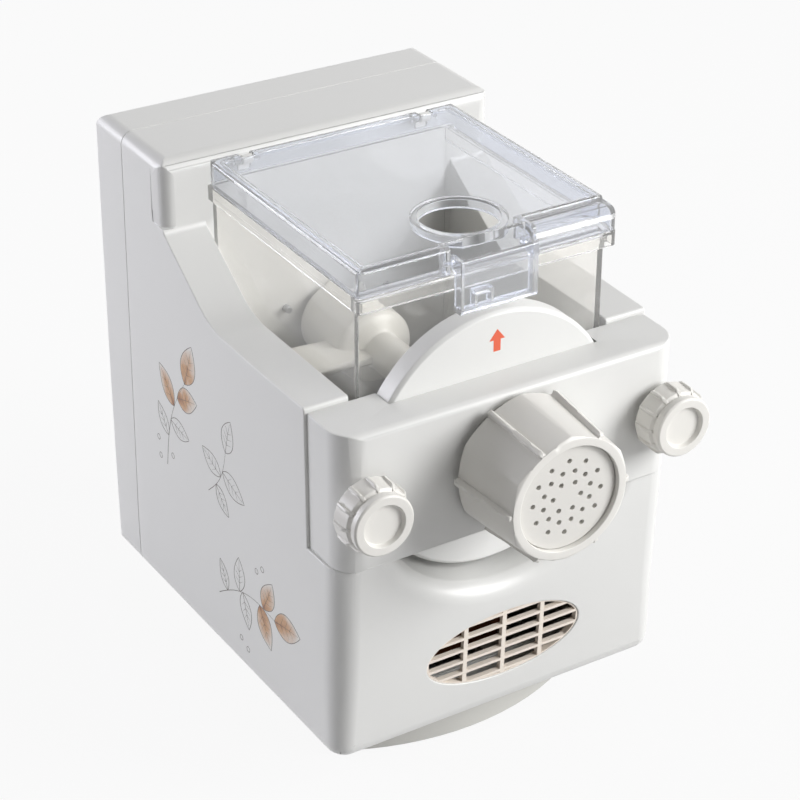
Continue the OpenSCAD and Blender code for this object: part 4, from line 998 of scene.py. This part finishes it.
wash_skin = add(
    wash,
    "ShaderNodeBsdfPrincipled",
    {"Base Color": wash_tone.outputs["Color"], "Roughness": 0.3, "IOR": 1.53},
)
add(wash, "ShaderNodeOutputMaterial", {"Surface": wash_skin.outputs["BSDF"]})


def printed(name, work, finish, body):
    """Film mesh with its faces turned outward, riding with what it is printed on."""
    bmesh.ops.recalc_face_normals(work, faces=work.faces)
    mesh = bpy.data.meshes.new(name)
    work.to_mesh(mesh)
    work.free()
    mesh.materials.append(finish)
    film = bpy.data.objects.new(name, mesh)
    scene.collection.objects.link(film)
    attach(film, body)


printed("sprig_lines", print_lines, ink, nodes["main_housing"]["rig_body"])
printed("sprig_washes", print_washes, wash, nodes["main_housing"]["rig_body"])

# ---------------------------------------------------------------------------
# Vent grille: a cream ABS insert with crossed bars, moulded in one and pressed into the
# oval opening from inside. Its narrow edges are only just broken.

grille_abs = glossy_abs("grille_abs", "#F3E9DD", 0.4)
moulding("front_grille", "vent_grille", grille_abs, 0.35, fine=True)

# ---------------------------------------------------------------------------
# Power inlet and rocker switch: a black socket in the rear cover, and a red rocker that tips
# in an ivory frame on the right wall. Both are ABS mouldings clipped into their openings.

dress("power_inlet", glossy_abs("inlet_plastic", "#1C1D1F", 0.42))
moulding("switch_bezel", "switch_frame", pan_abs, 0.4)
moulding("mode_rocker", "switch_rocker", glossy_abs("rocker_red", "#B6342A", 0.33), 0.4)

# ---------------------------------------------------------------------------
# Hopper, lid and latch: clear injection-moulded polycarbonate, edges slightly rounded so
# that they catch the light as bright and dark lines. The hopper sits on two pins, the lid
# turns on two more at its back edge, and the latch on two at the lid's front edge.


def clear_polycarbonate(name, tint, milk):
    """Clear polycarbonate: polished faces that bend the view, a trace of milk from fine
    scratches, a light ripple from moulding; lamplight passes straight through."""
    least_milk, most_milk = milk * 0.6, milk * 1.4
    finish = fresh(name)
    spot = add(finish, "ShaderNodeTexCoord")
    ripple = add(
        finish,
        "ShaderNodeTexNoise",
        {"Vector": spot.outputs["Object"], "Scale": 35.0, "Detail": 2.0},
    )
    wave = add(
        finish,
        "ShaderNodeBump",
        {"Height": ripple.outputs["Fac"], "Strength": 0.012, "Distance": 0.001},
    )
    body = add(
        finish,
        "ShaderNodeBsdfPrincipled",
        {
            "Base Color": paint(tint),
            "Roughness": 0.0,
            "IOR": 1.5,
            "Transmission Weight": 1.0,
            "Normal": wave.outputs["Normal"],
        },
    )
    scuffs = add(
        finish,
        "ShaderNodeTexNoise",
        {"Vector": spot.outputs["Object"], "Scale": 18.0, "Detail": 6.0, "Roughness": 0.6},
    )
    scuffed = add(
        finish,
        "ShaderNodeMapRange",
        {"Value": scuffs.outputs["Fac"], "To Min": least_milk, "To Max": most_milk},
    )
    milky = add(finish, "ShaderNodeBsdfDiffuse", {"Color": paint("#FBFBF8")})
    clear = add(
        finish,
        "ShaderNodeMixShader",
        {0: scuffed.outputs["Result"], 1: body.outputs["BSDF"], 2: milky.outputs[0]},
    )
    ray = add(finish, "ShaderNodeLightPath")
    soft = add(
        finish,
        "ShaderNodeMath",
        {0: ray.outputs["Is Shadow Ray"], 1: ray.outputs["Is Diffuse Ray"]},
        operation="MAXIMUM",
    )
    passed = add(finish, "ShaderNodeBsdfTransparent", {"Color": paint("#FEFEFE")})
    either = add(
        finish,
        "ShaderNodeMixShader",
        {0: soft.outputs[0], 1: clear.outputs[0], 2: passed.outputs[0]},
    )
    add(finish, "ShaderNodeOutputMaterial", {"Surface": either.outputs[0]})
    return finish


hopper_clear = clear_polycarbonate("warm_polycarbonate", "#FFFEFC", 0.07)
lid_clear = clear_polycarbonate("clear_polycarbonate", "#E6E9F1", 0.08)
moulding("hopper", "hopper_bowl", hopper_clear, 0.4)
moulding("lid", "hopper_lid", lid_clear, 0.4)
moulding("lid_latch", "latch_flap", lid_clear, 0.35, fine=True)
dress("latch_pins", lid_clear)
dress("lid_hinge_pins", zinc_steel)
dress("hopper_locating_pins", zinc_steel)

# ---------------------------------------------------------------------------
# Paddle and auger: white food-grade nylon, both moulded. The paddle's hub plugs onto the
# output shaft, and the auger turns with it inside the barrel.

paddle_nylon = glossy_abs("paddle_nylon", "#ECEAE3", 0.35)
moulding("mixing_paddle", "mixing_paddle_body", paddle_nylon, 0.8)
dress("auger", paddle_nylon)

# ---------------------------------------------------------------------------
# End disc with its barrel and the clamp bar: white ABS mouldings. The disc closes the front
# of the hopper, and the bar goes over two steel studs and presses the disc home.

moulding("end_disc", "end_disc_body", glossy_abs("disc_abs", "#ECECEA", 0.34), 0.6)
# plain arrow printed on the disc: this side up
ink_face_y, ink_root_y = -95.87, -95.75
arrow_shank = [(-1.6, 271), (3.0, 271), (3.0, 278.05), (-1.6, 278.05)]
arrow_head = [(-4.4, 278), (5.8, 278), (0.7, 284.5)]
pointer = bmesh.new()
for outline in (arrow_shank, arrow_head):
    front_ring = [pointer.verts.new((x * mm, ink_face_y * mm, z * mm)) for x, z in outline]
    back_ring = [pointer.verts.new((x * mm, ink_root_y * mm, z * mm)) for x, z in outline]
    pointer.faces.new(front_ring)
    pointer.faces.new(back_ring[::-1])
    for k in range(len(outline)):
        n = (k + 1) % len(outline)
        pointer.faces.new((front_ring[k], back_ring[k], back_ring[n], front_ring[n]))
arrow_ink = glossy_abs("arrow_ink", "#EC6A4A", 0.4)
printed("up_arrow", pointer, arrow_ink, nodes["end_disc"]["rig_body"])

moulding("clamp_bar", "clamp_bar_shell", housing_abs, 0.6)
dress("bar_studs", zinc_steel)

# ---------------------------------------------------------------------------
# Thumb nuts, cap nut and die: warm ivory ABS with a slightly duller skin. The thumb nuts
# screw onto the studs over steel washers, and the cap nut holds the die against its gasket.

knob_abs = glossy_abs("knob_abs", "#E9E7E2", 0.36)
for side in ("left", "right"):
    moulding(side + "_thumb_nut", side + "_thumb_nut_grip", knob_abs, 0.3)
    dress(side + "_washer", zinc_steel)
    dress(side + "_insert", bush_bronze)
moulding("cap_nut", "cap_nut_shell", knob_abs, 0.5)
moulding("die_plate", "die_disc", glossy_abs("die_abs", "#E2E0DB", 0.34), 0.15)
dress("die_gasket", seal_rubber)
